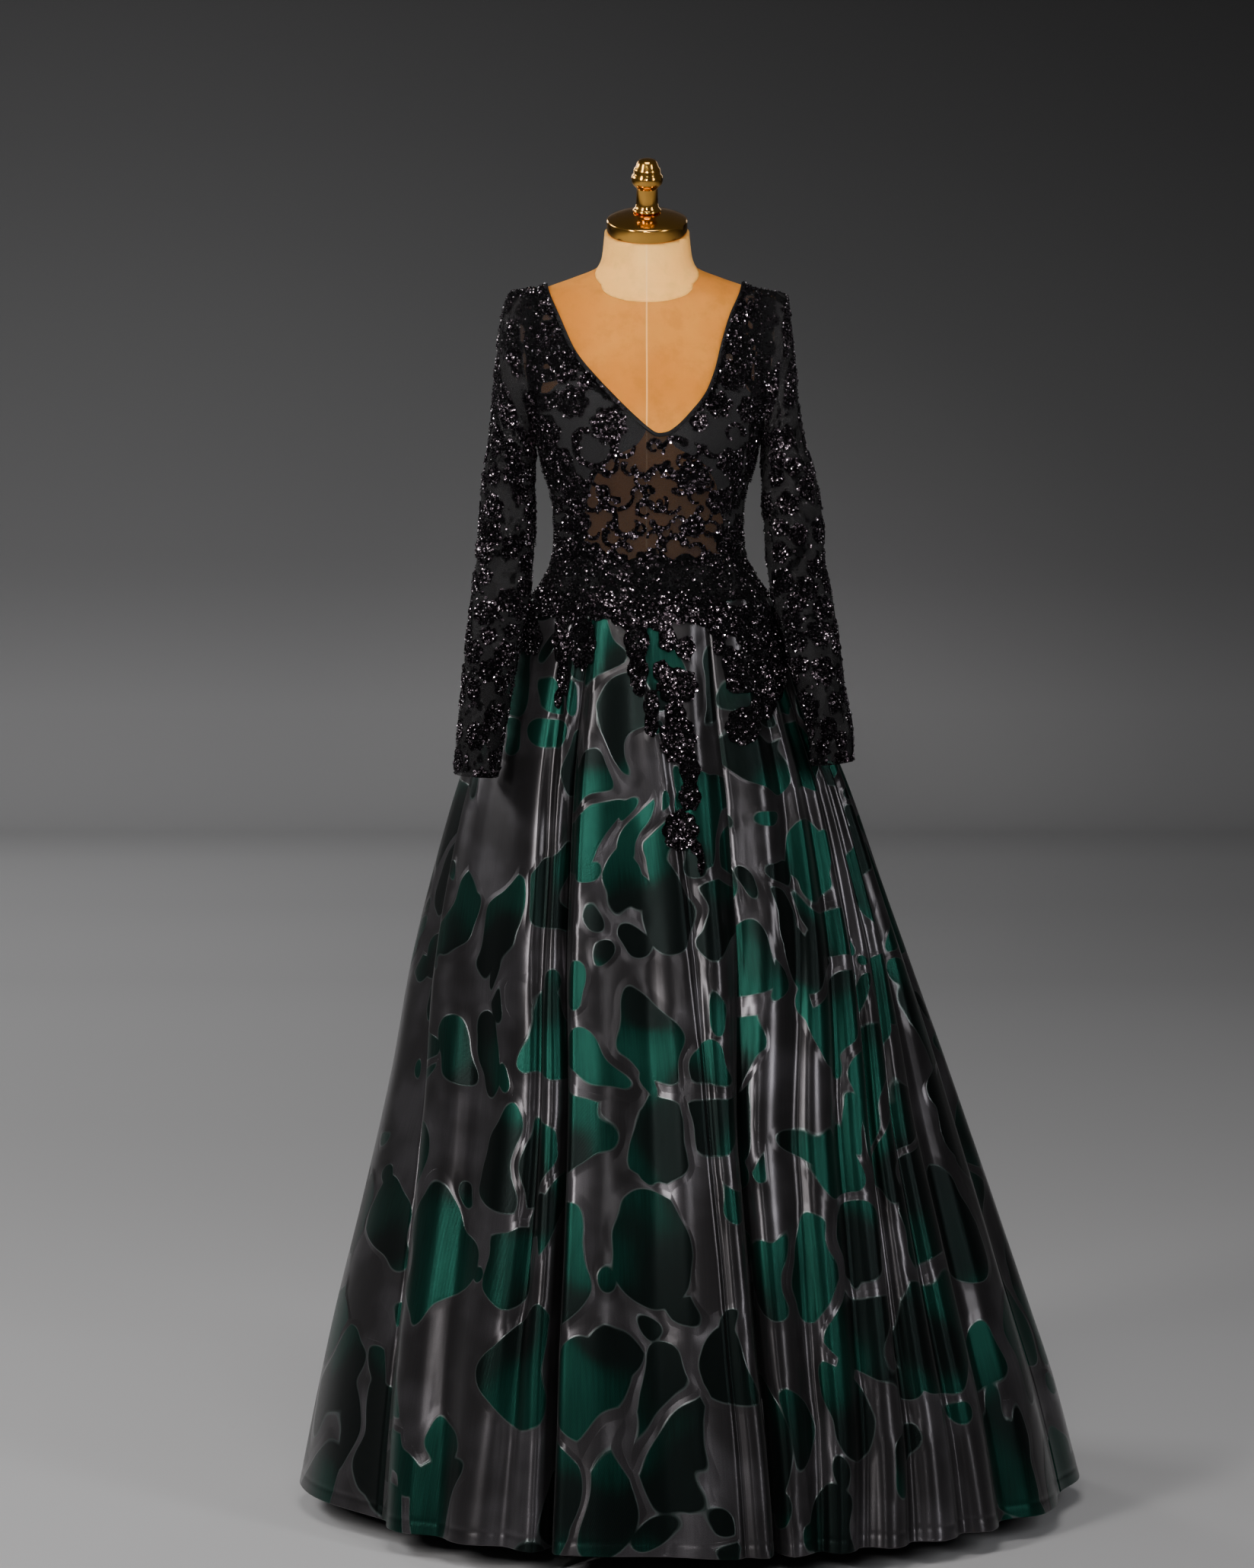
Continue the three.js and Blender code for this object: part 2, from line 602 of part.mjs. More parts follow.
// The binding lies on the net along the neckline
function makeBinding() {
  const shell = bodyShell(BINDING).intersect(betweenArmholes(0));
  const strip = (line, cut, yLow, yHigh) => {
    return plateAcross(upTo(movedDown(line, BINDING_WIDTH)), yLow, yHigh).subtract(cut);
  };
  const front = shell.intersect(strip(NECK_FRONT, neckFrontCut, -FAR, 0));
  const back = shell.intersect(strip(NECK_BACK, neckBackCut, 0, FAR));
  add("binding_front", geometryOf(front.intersect(frontHalf)), "satin");
  add("binding_back_left", geometryOf(back.intersect(backLeft)), "satin");
  add("binding_back_right", geometryOf(back.intersect(backRight)), "satin");
}

// How far a point lies outside the form, near its surface
function outsideBody(x, y, z) {
  const level = (px, py, pz) => {
    const depth = py < 0 ? body.front(pz) : body.back(pz);
    const round = body.round(pz);
    const across = (Math.abs(px - body.centre(pz)) / body.half(pz)) ** round;
    return (across + (Math.abs(py) / depth) ** round) ** (1 / round) - 1;
  };
  const here = level(x, y, z);
  const steep = Math.hypot(
    level(x + 0.5, y, z) - level(x - 0.5, y, z),
    level(x, y + 0.5, z) - level(x, y - 0.5, z),
    level(x, y, z + 0.5) - level(x, y, z - 0.5),
  );
  return here / steep;
}

// The armhole's edge on the net, at one angle round the armhole
function armholePoint(x, angle) {
  const aim = new THREE.Vector2(
    ARMHOLE_MIDDLE.deep * Math.sin(angle), ARMHOLE_MIDDLE.tall * Math.cos(angle)).normalize();
  let near = 20;
  let far = 130;
  for (let k = 0; k < 30; k += 1) {
    const reach = (near + far) / 2;
    const y = ARMHOLE_MIDDLE.y + aim.x * reach;
    const z = ARMHOLE_MIDDLE.z + aim.y * reach;
    if (outsideBody(x, y, z) < NET.outer + ARMHOLE_EASE) near = reach;
    else far = reach;
  }
  return new THREE.Vector3(x, ARMHOLE_MIDDLE.y + aim.x * near, ARMHOLE_MIDDLE.z + aim.y * near);
}

function makeSleeve(name, rows, side) {
  const angles = Array.from({ length: SLEEVE_STEPS }, (_, k) => (2 * Math.PI * k) / SLEEVE_STEPS);
  const armholeX = BODICE_CENTRE_X + side * (ARMHOLE_X + SEAM_GAP);
  const outer = [angles.map((angle) => armholePoint(armholeX, angle))];
  namedRows(SLEEVE_COLUMNS, rows).forEach((ring) => {
    const out = new THREE.Vector3(ring.outerX, ring.y, ring.outerZ);
    const into = new THREE.Vector3(ring.innerX, ring.y, ring.innerZ);
    const middle = out.clone().add(into).divideScalar(2);
    const reach = out.clone().sub(middle);
    outer.push(angles.map((angle) => {
      const point = middle.clone().addScaledVector(reach, Math.cos(angle));
      point.y += ring.depth * Math.sin(angle);
      return point;
    }));
  });
  const inner = outer.map((ring) => {
    const middle = ring.reduce((sum, point) => sum.add(point), new THREE.Vector3());
    middle.divideScalar(ring.length);
    return ring.map((point) => {
      const inward = middle.clone().sub(point);
      return point.clone().addScaledVector(inward.normalize(), NET_WALL);
    });
  });
  add(name, wallBetween(outer, inner, true), "net");
}

// Places round the skirt where its grid has a column, from one valley to another
function foldPlaces(from, to) {
  const places = [from + 0.5];
  for (let half = 2 * from + 1; half < 2 * to + 1; half += 1) {
    const start = skirtPoint(half / 2, HEM_Z);
    const end = skirtPoint((half + 1) / 2, HEM_Z);
    const count = THREE.MathUtils.clamp(Math.round(start.distanceTo(end) / SKIRT_STEP), 2, 4);
    for (let k = 1; k <= count; k += 1) places.push(half / 2 + k / (2 * count));
  }
  return places;
}

// A panel of the skirt, or of lace on it, drawn back from its two end seams
function skirtPanel(places, levels, innerOffset, outerOffset) {
  const grids = [outerOffset, innerOffset].map((offset) => {
    const grid = gridOf(skirtPoint, places, levels, offset);
    grid.forEach((row, i) => {
      const first = directionsAt(skirtPoint, places[0], levels[i]).along;
      const last = directionsAt(skirtPoint, places[places.length - 1], levels[i]).along;
      row[0].addScaledVector(first, SEAM_GAP / 2);
      row[row.length - 1].addScaledVector(last, -SEAM_GAP / 2);
    });
    return grid;
  });
  return wallBetween(grids[0], grids[1], false);
}

function makeSkirt() {
  const levels = [...SKIRT_LEVELS, WAIST_SEAM_Z - SEAM_GAP / 2];
  GORES.forEach(([name, from, to]) => {
    add(name, skirtPanel(foldPlaces(from, to), levels, -SKIRT_WALL, 0), "jacquard");
  });
}

// Lace over the skirt: the skirt's own points moved out, cut to a scalloped outline
function lacePlaces(from, to) {
  const places = [];
  foldPlaces(from - 1, to).forEach((place) => {
    if (place >= from && place <= to) places.push(place);
  });
  return places;
}

function makeLace() {
  const levels = SKIRT_LEVELS.filter((z) => z >= LACE_BOTTOM_Z);
  const right = FOLD_ROWS.findIndex((row) => row[0] === 360);
  const layer = [LAYER_GAP, LAYER_GAP + LACE_WALL];
  const front = solidOf(skirtPanel(lacePlaces(0, right), levels, ...layer));
  const back = solidOf(skirtPanel(lacePlaces(right, FOLD_ROWS.length), levels, ...layer));
  const frontOutline = laceOutline(FRONT_LOBES, -FAR, 0);
  const backOutline = laceOutline(BACK_LOBES, 0, FAR);
  add("lace_hip_front", geometryOf(front.intersect(frontOutline)), "lace");
  add("lace_hip_back", geometryOf(back.intersect(backOutline)), "lace");
}

makeForm();
makeCap();
makeStand();
makeLining();
makeBodice();
makeBinding();
makeSleeve("sleeve_left", SLEEVE_LEFT, -1);
makeSleeve("sleeve_right", SLEEVE_RIGHT, 1);
makeSkirt();
makeLace();

export default gown;
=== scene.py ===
"""Evening gown on a dress form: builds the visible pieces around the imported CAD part.

Lengths in the tables are millimetres where a comment doesn't say metres. +Z is up and the front
faces -Y, as in the CAD part.
"""

import math

import bpy
import numpy as np
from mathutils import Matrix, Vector


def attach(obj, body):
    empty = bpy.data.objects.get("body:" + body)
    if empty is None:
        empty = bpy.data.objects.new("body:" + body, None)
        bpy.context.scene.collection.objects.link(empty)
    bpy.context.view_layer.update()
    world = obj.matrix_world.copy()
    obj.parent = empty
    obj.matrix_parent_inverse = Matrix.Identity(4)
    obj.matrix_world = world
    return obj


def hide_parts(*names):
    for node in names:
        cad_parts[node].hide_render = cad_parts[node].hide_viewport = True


bl_info = {
    "name": "Evening gown",
    "version": (1, 0, 0),
    "blender": (4, 5, 0),
    "location": "View3D > Sidebar > Gown",
    "description": "Builds an evening gown on a dress form",
    "category": "Object",
}

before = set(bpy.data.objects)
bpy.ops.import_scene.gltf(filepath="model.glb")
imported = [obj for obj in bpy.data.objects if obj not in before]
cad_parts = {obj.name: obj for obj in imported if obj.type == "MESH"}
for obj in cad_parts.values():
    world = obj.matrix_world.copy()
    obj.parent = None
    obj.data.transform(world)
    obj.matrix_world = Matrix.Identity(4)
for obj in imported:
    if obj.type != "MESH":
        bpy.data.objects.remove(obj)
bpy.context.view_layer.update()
MM = 0.001
BODY = "root"

# Main lines of the gown and the form, the same as in the CAD part
HEM_Z = 30.0
WAIST_Z = 1236.15
SKIRT_TOP_Z = 1235.85
LACE_TOP_Z = 1235.8
LACE_LOW_Z = 850.0
STRAP_TOP_Z = 1609.0
FOLD_TOP_Z = 1130.0
FOLD_START_Z = 1236.0
CENTRE_X = 2.0
ARMHOLE_X = 147.0
V_POINT_X = 14.0
BINDING_WIDTH = 5.0
SEAM_GAP = 0.3
LINING_OUT = 1.6
NET_OUT = 3.0
BINDING_OUT = 4.4
LACE_OUT = 1.6
SKIRT_WALL = 1.4
PLEAT_FLAT = 3.4
KNEE_PRESS_Z = 788.0
HEM_STITCH_Z = 46.0

# Walls of the cloth, and how far apart the points of each surface are
LINING_WALL = 1.0
NET_WALL = 0.6
BINDING_WALL = 1.4
LACE_WALL = 0.7
CLOTH_PITCH = 4.0
BINDING_PITCH = 3.2
LACE_PITCH = 4.5
LACE_COLUMN_PITCH = 7.0
SKIRT_PITCH = 9.5
SLEEVE_STEPS = 72
SLEEVE_PITCH = 4.2
FORM_STEPS = 168
FORM_PITCH = 4.6
FORM_LOW_Z = 940.0
FORM_TOP_Z = 1700.0
CHEST_ROUND = 820.0
TURNED_STEPS = 96
SIDES = (("left", -1), ("right", 1))

# Sections of the form: z, centre, half width, front depth, back depth, roundness
BODY_ROWS = [
    (940, 2, 140, 88, 100, 2.2),
    (1000, 3, 158, 98, 116, 2.2),
    (1080, 4, 164, 102, 122, 2.2),
    (1150, 4, 154, 99, 117, 2.2),
    (1200, 4, 139, 95, 107, 2.2),
    (1236, 4, 126, 92, 97, 2.2),
    (1262, 3, 121.5, 90, 92, 2.2),
    (1290, 2, 120, 88, 89, 2.2),
    (1325, 2, 123, 92, 92, 2.2),
    (1368, 2, 136, 99, 98, 2.2),
    (1410, 2, 144, 100, 103, 2.2),
    (1450, 1.5, 153, 96, 105, 2.2),
    (1500, 1, 162, 88, 104, 2.2),
    (1540, 0.5, 166, 78, 99, 2.1),
    (1570, 0, 165, 67, 89, 2.0),
    (1585, 0, 158, 62, 82, 1.85),
    (1595, 0, 142, 58, 76, 1.65),
    (1603, 0, 121, 55, 71, 1.5),
    (1611, 0, 98, 53, 66, 1.5),
    (1626, 0, 64, 50, 58, 1.85),
    (1640, 0, 58.5, 49, 54, 2.0),
    (1700, 0, 53, 51, 48, 2.0),
]
CUP = {"x": 66.0, "z": 1412.0, "proud": 22.0, "wide": 40.0, "tall": 42.0}

# Sections of the skirt between its crests, in the same order
SKIRT_ROWS = [
    (30, 57, 518, 460, 485, 2.0),
    (157, 53, 488, 430, 452, 2.0),
    (261, 47, 459, 405, 425, 2.0),
    (399, 41, 418, 368, 385, 2.0),
    (571, 31, 368, 315, 330, 2.0),
    (721, 18, 327, 268, 280, 2.0),
    (824, 12, 296, 235, 245, 2.0),
    (953, 8, 255, 195, 205, 2.0),
    (1040, 6, 220, 165, 178, 2.0),
    (1120, 6, 188, 137, 150, 2.05),
    (1160, 6, 173, 124, 136, 2.1),
    (1195, 6, 156, 112, 122, 2.15),
    (1218, 5, 139, 101, 109, 2.2),
    (1236, 4, 129, 95, 100, 2.2),
]

# Folds: the crest's angle at four heights, the valley's share of the way to the next crest, and
# its depth at the top and at the hem
FOLD_HEIGHTS = (30, 500, 800, 1130)
FOLD_ROWS = [
    (187, 184, 181, 180, 0.78, 5, 26),
    (224, 215, 204.5, 195, 0.5, 5, 15),
    (236, 238.7, 238, 229, 0.55, 4, 14),
    (247, 245.8, 243.8, 238, 0.5, 7, 36),
    (250.8, 250.2, 250, 248, 0.6, 4, 14),
    (275.6, 275.2, 276, 269, 0.35, 4, 8),
    (280.2, 280, 283.3, 284, 0.42, 7, 38),
    (283.8, 286, 299, 309, 0.65, 6, 20),
    (290.8, 298, 311, 321, 0.55, 6, 20),
    (299, 308.5, 321, 330, 0.5, 5, 18),
    (307.5, 314.5, 328, 336, 0.55, 4, 16),
    (316.5, 321, 335.5, 342, 0.45, 6, 25),
    (331, 338, 347, 352, 0.5, 5, 20),
    (360, 360, 360, 360, 0.45, 5, 24),
    (378, 377, 376, 375, 0.55, 6, 26),
    (396, 397, 394, 392, 0.5, 5, 22),
    (412, 413, 412, 411, 0.45, 6, 30),
    (431, 430, 431, 430, 0.5, 6, 26),
    (450, 449, 450, 451, 0.55, 5, 24),
    (468, 469, 470, 471, 0.5, 6, 28),
    (487, 486, 488, 489, 0.5, 5, 22),
    (503, 504, 506, 508, 0.45, 6, 28),
    (521, 522, 524, 526, 0.5, 5, 24),
]

# Panels of the skirt: name, first and last fold, flat size in metres
GORES = [
    ("front", 3, 6, (0.39, 1.31)),
    ("side_front_right", 6, 12, (0.67, 1.33)),
    ("side_back_right", 12, 15, (0.55, 1.33)),
    ("back_right", 15, 17, (0.38, 1.32)),
    ("back_left", 17, 19, (0.39, 1.31)),
    ("side_back_left", 19, 23, (0.89, 1.31)),
    ("side_front_left", 23, 26, (0.36, 1.32)),
]

# Sleeve rings: outer x, outer z, inner x, inner z, y and half depth
SLEEVE_LEFT = [
    (-178, 1592, -146.5, 1402, 5, 53),
    (-190, 1556, -147, 1399, 5, 52),
    (-197, 1500, -147, 1396, 3, 51),
    (-203, 1440, -147, 1390, 1, 50),
    (-210, 1378, -146, 1378, -2, 47),
    (-216, 1339, -146, 1337, -4, 44),
    (-220, 1286, -146, 1284, -6, 42),
    (-225, 1240, -149, 1238, -12, 41),
    (-228, 1200, -153, 1196, -36, 40),
    (-232, 1163, -161, 1157, -64, 39),
    (-236, 1124, -168, 1118, -86, 38),
    (-242, 1048, -182, 1040, -112, 35),
    (-245, 1010, -187, 1004, -124, 33),
    (-247, 974, -191, 970, -132, 32),
]
SLEEVE_RIGHT = [
    (182, 1588, 150.5, 1400, 5, 53),
    (188, 1545, 151, 1397, 5, 52),
    (195, 1480, 151, 1394, 3, 51),
    (204, 1415, 151, 1388, 1, 50),
    (215, 1373, 150, 1373, -3, 48),
    (223, 1342, 150, 1340, -5, 46),
    (231, 1286, 154, 1284, -7, 44),
    (234, 1240, 157, 1236, -14, 41),
    (243, 1191, 165, 1188, -38, 40),
    (247, 1156, 176, 1151, -62, 38),
    (250, 1119, 184, 1114, -82, 36),
    (259, 1060, 200, 1054, -102, 33),
    (263, 1026, 208, 1020, -112, 31),
    (264, 990, 211, 984, -118, 30),
]
# Soft folds of an empty sleeve: place down it, depth, width, place round it, lean
SLEEVE_FOLDS = [
    (205, 3.4, 26, 1.3, 0.9), (240, 3.0, 20, 4.6, -0.7), (285, 3.6, 24, 0.6, 0.8),
    (330, 3.0, 18, 5.2, -0.6), (372, 2.6, 20, 1.0, 0.5), (120, 2.0, 26, 0.3, 0.6),
    (455, 2.4, 24, 5.6, 0.7), (520, 2.0, 22, 0.9, -0.5),
]
ARMHOLE_EASE = 1.2
SLEEVE_ROUND = 38.0
ARMHOLE_REACH = (20.0, 130.0)
ARMHOLE_MIDDLE = {"y": 6.0, "z": 1503.0, "deep": 54.0, "tall": 92.0}

SEAM_THREAD = (1.0, 0.62, 0.3)

# Outlines drawn on the form: x and z, and for the neck's seam y and z
NECK_FRONT = [
    (-134, 1625), (-128, 1597), (-113, 1561), (-92, 1516), (-64, 1482), (-36, 1453),
    (-12, 1430), (2, 1418), (14, 1411), (24, 1412), (36, 1419), (56, 1439), (75, 1463),
    (87, 1492), (95, 1524), (106, 1561), (121, 1597), (127, 1625),
]
NECK_BACK = [
    (-134, 1625), (-128, 1597), (-102, 1567), (-62, 1549), (-20, 1542), (20, 1542),
    (60, 1549), (96, 1567), (121, 1597), (127, 1625),
]
LINING_TOP = [
    (-400, 1452), (-128, 1462), (-88, 1500), (-40, 1470), (14, 1424), (66, 1470), (98, 1500),
    (134, 1462), (400, 1452),
]
LINING_WINDOW = [
    (14, 1470), (-4, 1398), (-38, 1384), (-64, 1364), (-80, 1320), (-87, 1266), (-84, 1200),
    (100, 1200), (101, 1266), (98, 1320), (80, 1368), (52, 1384), (26, 1398),
]
NECK_SEAM = [
    (-130, 1500), (-65, 1577.5), (-58, 1586), (-49, 1595.5), (-36, 1607), (-16, 1620), (0, 1626),
    (34, 1636), (130, 1648),
]

# The metal cap and finial, which lean forward together
CAP_LEAN = math.radians(19.5)
CAP_SEAT = (0.0, -2.0, 1670.0)
CAP_PROFILE = [
    (0, 0), (51, 0), (52.1, 0.4), (52.5, 1.5), (52.5, 16), (52.1, 17.6), (50.5, 18.8),
    (46, 20.6), (38, 24), (25, 27), (12, 28.7), (0, 29),
]
FINIAL_PROFILE = [
    (0, 0), (17.6, 0), (18.3, 0.6), (18.3, 2.2), (17, 3.4), (15, 6), (14.2, 12), (14, 30),
    (15, 32), (18.4, 35.4), (20, 38), (20.5, 41), (20.5, 45), (19.8, 48), (17.9, 50),
    (17.4, 51), (17.4, 55.4), (16.6, 57.4), (15, 59), (13.2, 64), (11, 67.6), (6, 69.4), (0, 70),
]
FINIAL_HEIGHT = 29.3

# Where the dense lace at the bodice's sides begins: height, distance from its middle
LACE_INNER = [(1236, 84), (1270, 84), (1330, 88), (1370, 104), (1400, 122), (1440, 124), (1500, 100)]
LACE_MIDDLE_X = 6.0
# Flowers of the lace on the bodice's front: x, z, radius, petals
FRONT_FLOWERS = [
    (-50, 1420, 25, 8), (-96, 1450, 22, 7), (-106, 1494, 21, 7), (-128, 1536, 17, 6),
    (-76, 1476, 12, 5), (-122, 1574, 16, 6), (66, 1424, 12, 6), (92, 1446, 17, 6),
    (112, 1484, 21, 7), (108, 1526, 17, 6), (120, 1568, 17, 6), (132, 1440, 17, 6),
    (-126, 1410, 16, 6), (-112, 1376, 17, 6), (106, 1374, 18, 7), (60, 1354, 24, 8),
    (-92, 1338, 20, 7), (92, 1322, 17, 6), (60, 1290, 15, 6), (-92, 1296, 19, 7),
    (-72, 1252, 19, 7), (-44, 1236, 25, 8), (4, 1238, 25, 8), (44, 1226, 20, 7),
    (-108, 1254, 20, 7), (80, 1238, 21, 7), (104, 1270, 18, 6), (112, 1232, 19, 7),
]
BACK_FLOWERS = [(side * (26 + 44 * (k % 2)), 1250 + 36 * k, 21, 7) for side in (-1, 1) for k in range(9)]
BACK_FLOWERS += [(side * 112, 1250 + 44 * k, 20, 7) for side in (-1, 1) for k in range(7)]
# Scrolls of beads: x, z, radius, first angle, sweep in degrees, half width
FRONT_SCROLLS = [
    (-66, 1392, 27, 150, 200, 4.2), (-28, 1394, 15, 170, 190, 3.6), (34, 1388, 17, 40, 150, 3.6),
    (90, 1398, 20, 200, 110, 3.6), (8, 1394, 8, 0, 300, 2.6), (14, 1346, 24, 20, 140, 3.6),
    (16, 1322, 12, 190, 220, 3.0), (-36, 1334, 24, 170, 200, 3.0), (32, 1322, 16, 180, 150, 2.8),
    (-26, 1294, 17, 180, 200, 3.6), (-54, 1304, 14, 300, 220, 3.0), (34, 1264, 15, 20, 190, 3.6),
    (20, 1300, 14, 200, 150, 2.8), (62, 1258, 12, -30, 170, 3.0), (-22, 1270, 9, 60, 230, 2.8),
    (-2, 1370, 16, 200, 160, 2.8), (74, 1304, 11, 120, 240, 3.0), (-62, 1352, 12, 30, 240, 3.0),
    (-84, 1402, 13, 60, 210, 2.8), (58, 1390, 11, 230, 200, 2.6), (112, 1410, 12, 0, 240, 2.8),
    (-8, 1350, 9, 20, 220, 2.6), (-50, 1372, 13, 250, 200, 3.0), (40, 1296, 9, 300, 230, 2.6),
    (-4, 1312, 10, 90, 230, 2.8), (-44, 1276, 12, 140, 210, 3.0), (8, 1276, 10, 320, 220, 2.8),
    (64, 1330, 12, 60, 220, 3.0), (-70, 1322, 12, 200, 210, 3.0), (28, 1362, 10, 100, 230, 2.8),
    (-46, 1318, 10, 40, 250, 2.6), (44, 1342, 10, 210, 240, 2.6), (-12, 1332, 11, 310, 230, 2.6),
    (24, 1282, 9, 140, 240, 2.4), (-34, 1258, 11, 20, 230, 2.8), (50, 1276, 9, 60, 240, 2.4),
    (0, 1336, 7, 0, 300, 2.2), (-70, 1284, 11, 120, 230, 2.8), (84, 1288, 10, 230, 230, 2.6),
    (-22, 1366, 9, 150, 240, 2.4), (46, 1374, 9, 30, 230, 2.4), (10, 1258, 9, 200, 230, 2.4),
    (-58, 1336, 8, 330, 240, 2.2), (78, 1346, 9, 150, 240, 2.4), (-104, 1314, 9, 20, 230, 2.4),
    (108, 1346, 9, 250, 230, 2.4), (-110, 1278, 9, 80, 230, 2.4), (-10, 1288, 8, 210, 240, 2.4),
]
# Flowers of the hip lace: x, z, half width, half height. The band above them is closed, and goes
# on over the waist's seam in a few more rows.
LACE_CLOSED_Z = 1197.0
LACE_OVER_WAIST = (1241.0, 1246.0, 1251.0, 1256.0)
HIP_FRONT_FLOWERS = [
    (-166, 1172, 24, 26), (-150, 1146, 15, 24), (-128, 1190, 20, 18), (-111, 1144, 11, 34),
    (-108, 1100, 9, 28), (-115, 1070, 5, 13), (-84, 1142, 18, 36), (-100, 1184, 24, 20),
    (-62, 1188, 24, 18), (-28, 1182, 23, 22), (-14, 1146, 17, 28), (-12, 1108, 14, 24),
    (-10, 1086, 9, 12), (5, 1064, 11, 22), (5, 1040, 10, 16), (12, 1180, 25, 22),
    (26, 1148, 12, 18), (49, 1136, 13, 16), (44, 1184, 22, 18), (39, 1088, 27, 24),
    (18, 1108, 12, 14), (36, 1054, 14, 16), (39, 1022, 24, 32), (54, 984, 14, 22),
    (54, 950, 15, 18), (42, 908, 24, 26), (62, 886, 8, 10), (68, 868, 5, 18),
    (74, 1182, 26, 20), (98, 1170, 25, 24), (92, 1140, 9, 17), (106, 1116, 10, 24),
    (140, 1164, 34, 32), (142, 1110, 34, 37), (112, 1090, 12, 14), (123, 1036, 24, 25),
    (150, 1062, 17, 20), (166, 1088, 14, 24), (174, 1134, 22, 34),
]
HIP_BACK_FLOWERS = [
    (-140, 1150, 27, 34), (-94, 1120, 31, 54), (-47, 1150, 27, 34), (0, 1120, 33, 58),
    (0, 1048, 24, 42), (47, 1150, 27, 34), (94, 1120, 31, 54), (140, 1150, 27, 34),
    (-162, 1186, 20, 18), (-120, 1180, 26, 22), (-96, 1176, 22, 24), (-72, 1188, 22, 18),
    (-24, 1184, 26, 22), (0, 1180, 20, 24), (24, 1184, 24, 20), (72, 1184, 25, 20),
    (96, 1176, 20, 24), (120, 1186, 24, 20), (160, 1184, 22, 20), (-46, 1182, 14, 14),
    (47, 1182, 14, 14), (-140, 1178, 16, 16), (141, 1178, 16, 16),
]
# Rows of beads along flowers, as shares of their size, and how far apart the beads are sewn
FLOWER_RINGS = (0.98, 0.86, 0.66, 0.44, 0.2)
HIP_RINGS = (0.97, 0.84, 0.64, 0.42, 0.2)
SEWN_PITCH = 2.2
# Where sequins glitter most: x, z, reach
SHINE = [
    (-44, 1420, 24), (66, 1424, 13), (28, 1160, 40), (44, 1090, 34), (40, 1020, 22),
    (42, 908, 18), (160, 1100, 20), (-40, 1208, 34), (-104, 1150, 14),
]

# The studio, in metres: how pale its paper is painted at some distances from the gown, a painted shade
# that mostly darkens it away from the gown in place of the lights' fall-off
PAPER_REACH = 20.0
PAPER_SHADE_TONES = [
    (0.0, 0.6), (1.0, 0.57), (1.65, 0.5), (2.3, 0.44), (3.1, 0.375), (4.1, 0.31), (5.4, 0.245),
    (7.1, 0.23), (8.4, 0.255), (10.4, 0.215), (11.0, 0.155), (11.4, 0.13), (11.8, 0.108), (12.2, 0.088),
    (12.6, 0.071), (13.1, 0.055), (13.8, 0.045), (15.5, 0.4), (20.0, 0.6),
]
SWEEP_HALF = 14.0
SWEEP_START = 9.3
SWEEP_ROUND = 0.9
WALL_TOP_Z = 8.0
# Lights, in metres and watts: name, place, what it is aimed at, size, power, spread in degrees, colour
LIGHTS = [
    ("key", (-2.7, -3.0, 2.9), (0.0, 0.0, 1.0), (0.62, 2.2), 74.0, 180, (1.0, 0.98, 0.96)),
    ("side", (2.9, -2.7, 2.5), (0.0, 0.0, 0.9), (0.5, 2.2), 34.0, 180, (0.97, 0.98, 1.0)),
    ("top", (0.0, -1.6, 4.2), (0.0, 0.0, 1.2), (1.6, 1.2), 38.0, 180, (1.0, 0.98, 0.96)),
    ("front", (-0.4, -5.2, 2.6), (0.0, 0.0, 1.0), (0.5, 0.5), 10.0, 180, (1.0, 1.0, 1.0)),
    ("head", (-0.2, -5.2, 2.3), (0.0, 0.0, 1.58), (0.3, 0.3), 1.3, 12, (1.0, 0.97, 0.94)),
    ("back_left", (-2.6, 4.4, 3.2), (0.0, 0.0, 0.9), (0.8, 1.8), 34.0, 180, (1.0, 0.99, 0.97)),
    ("back_right", (2.4, 4.6, 3.0), (0.0, 0.0, 0.9), (0.8, 1.8), 7.0, 180, (0.98, 0.99, 1.0)),
    ("paper", (-3.4, 1.2, 3.0), (-2.2, 0.7, 0.0), (1.6, 1.0), 52.0, 180, (1.0, 1.0, 1.0)),
    ("far_paper", (-3.0, 5.4, 4.4), (-1.8, 8.8, 0.0), (2.4, 1.0), 170.0, 150, (1.0, 1.0, 1.0)),
]
CAMERA_AT = (-0.026, -6.0, 1.457)
CAMERA_DROP = 0.507
CAMERA_LENS = 105.22


def smooth_curve(xs, ys):
    """A smooth curve through the points that doesn't swing past them."""
    xs = np.asarray(xs, float)
    ys = np.asarray(ys, float)
    slopes = np.diff(ys) / np.diff(xs)
    tangents = np.empty_like(ys)
    tangents[0] = slopes[0]
    tangents[-1] = slopes[-1]
    product = slopes[:-1] * slopes[1:]
    total = np.where(product > 0, slopes[:-1] + slopes[1:], 1.0)
    tangents[1:-1] = np.where(product > 0, 2 * product / total, 0.0)

    def curve(x):
        at = np.clip(x, xs[0], xs[-1])
        i = np.clip(np.searchsorted(xs, at) - 1, 0, len(xs) - 2)
        span = xs[i + 1] - xs[i]
        t = (at - xs[i]) / span
        bend = t * t * (3 - 2 * t)
        leave = t * (1 - t) ** 2 * span
        arrive = t * t * (t - 1) * span
        return ys[i] + (ys[i + 1] - ys[i]) * bend + tangents[i] * leave + tangents[i + 1] * arrive

    return curve


def curves_of(rows):
    """The columns of a table of sections as curves by height."""
    columns = list(zip(*rows))
    names = ("centre", "half", "front", "back", "round")
    return {name: smooth_curve(columns[0], columns[k + 1]) for k, name in enumerate(names)}


BODY_CURVES = curves_of(BODY_ROWS)
SKIRT_CURVES = curves_of(SKIRT_ROWS)
CRESTS = [smooth_curve(FOLD_HEIGHTS, row[:4]) for row in FOLD_ROWS]


def smoothstep(x, low, high):
    """From 0 at low to 1 at high, with no corner at either."""
    t = np.clip((x - low) / (high - low), 0.0, 1.0)
    return t * t * (3 - 2 * t)


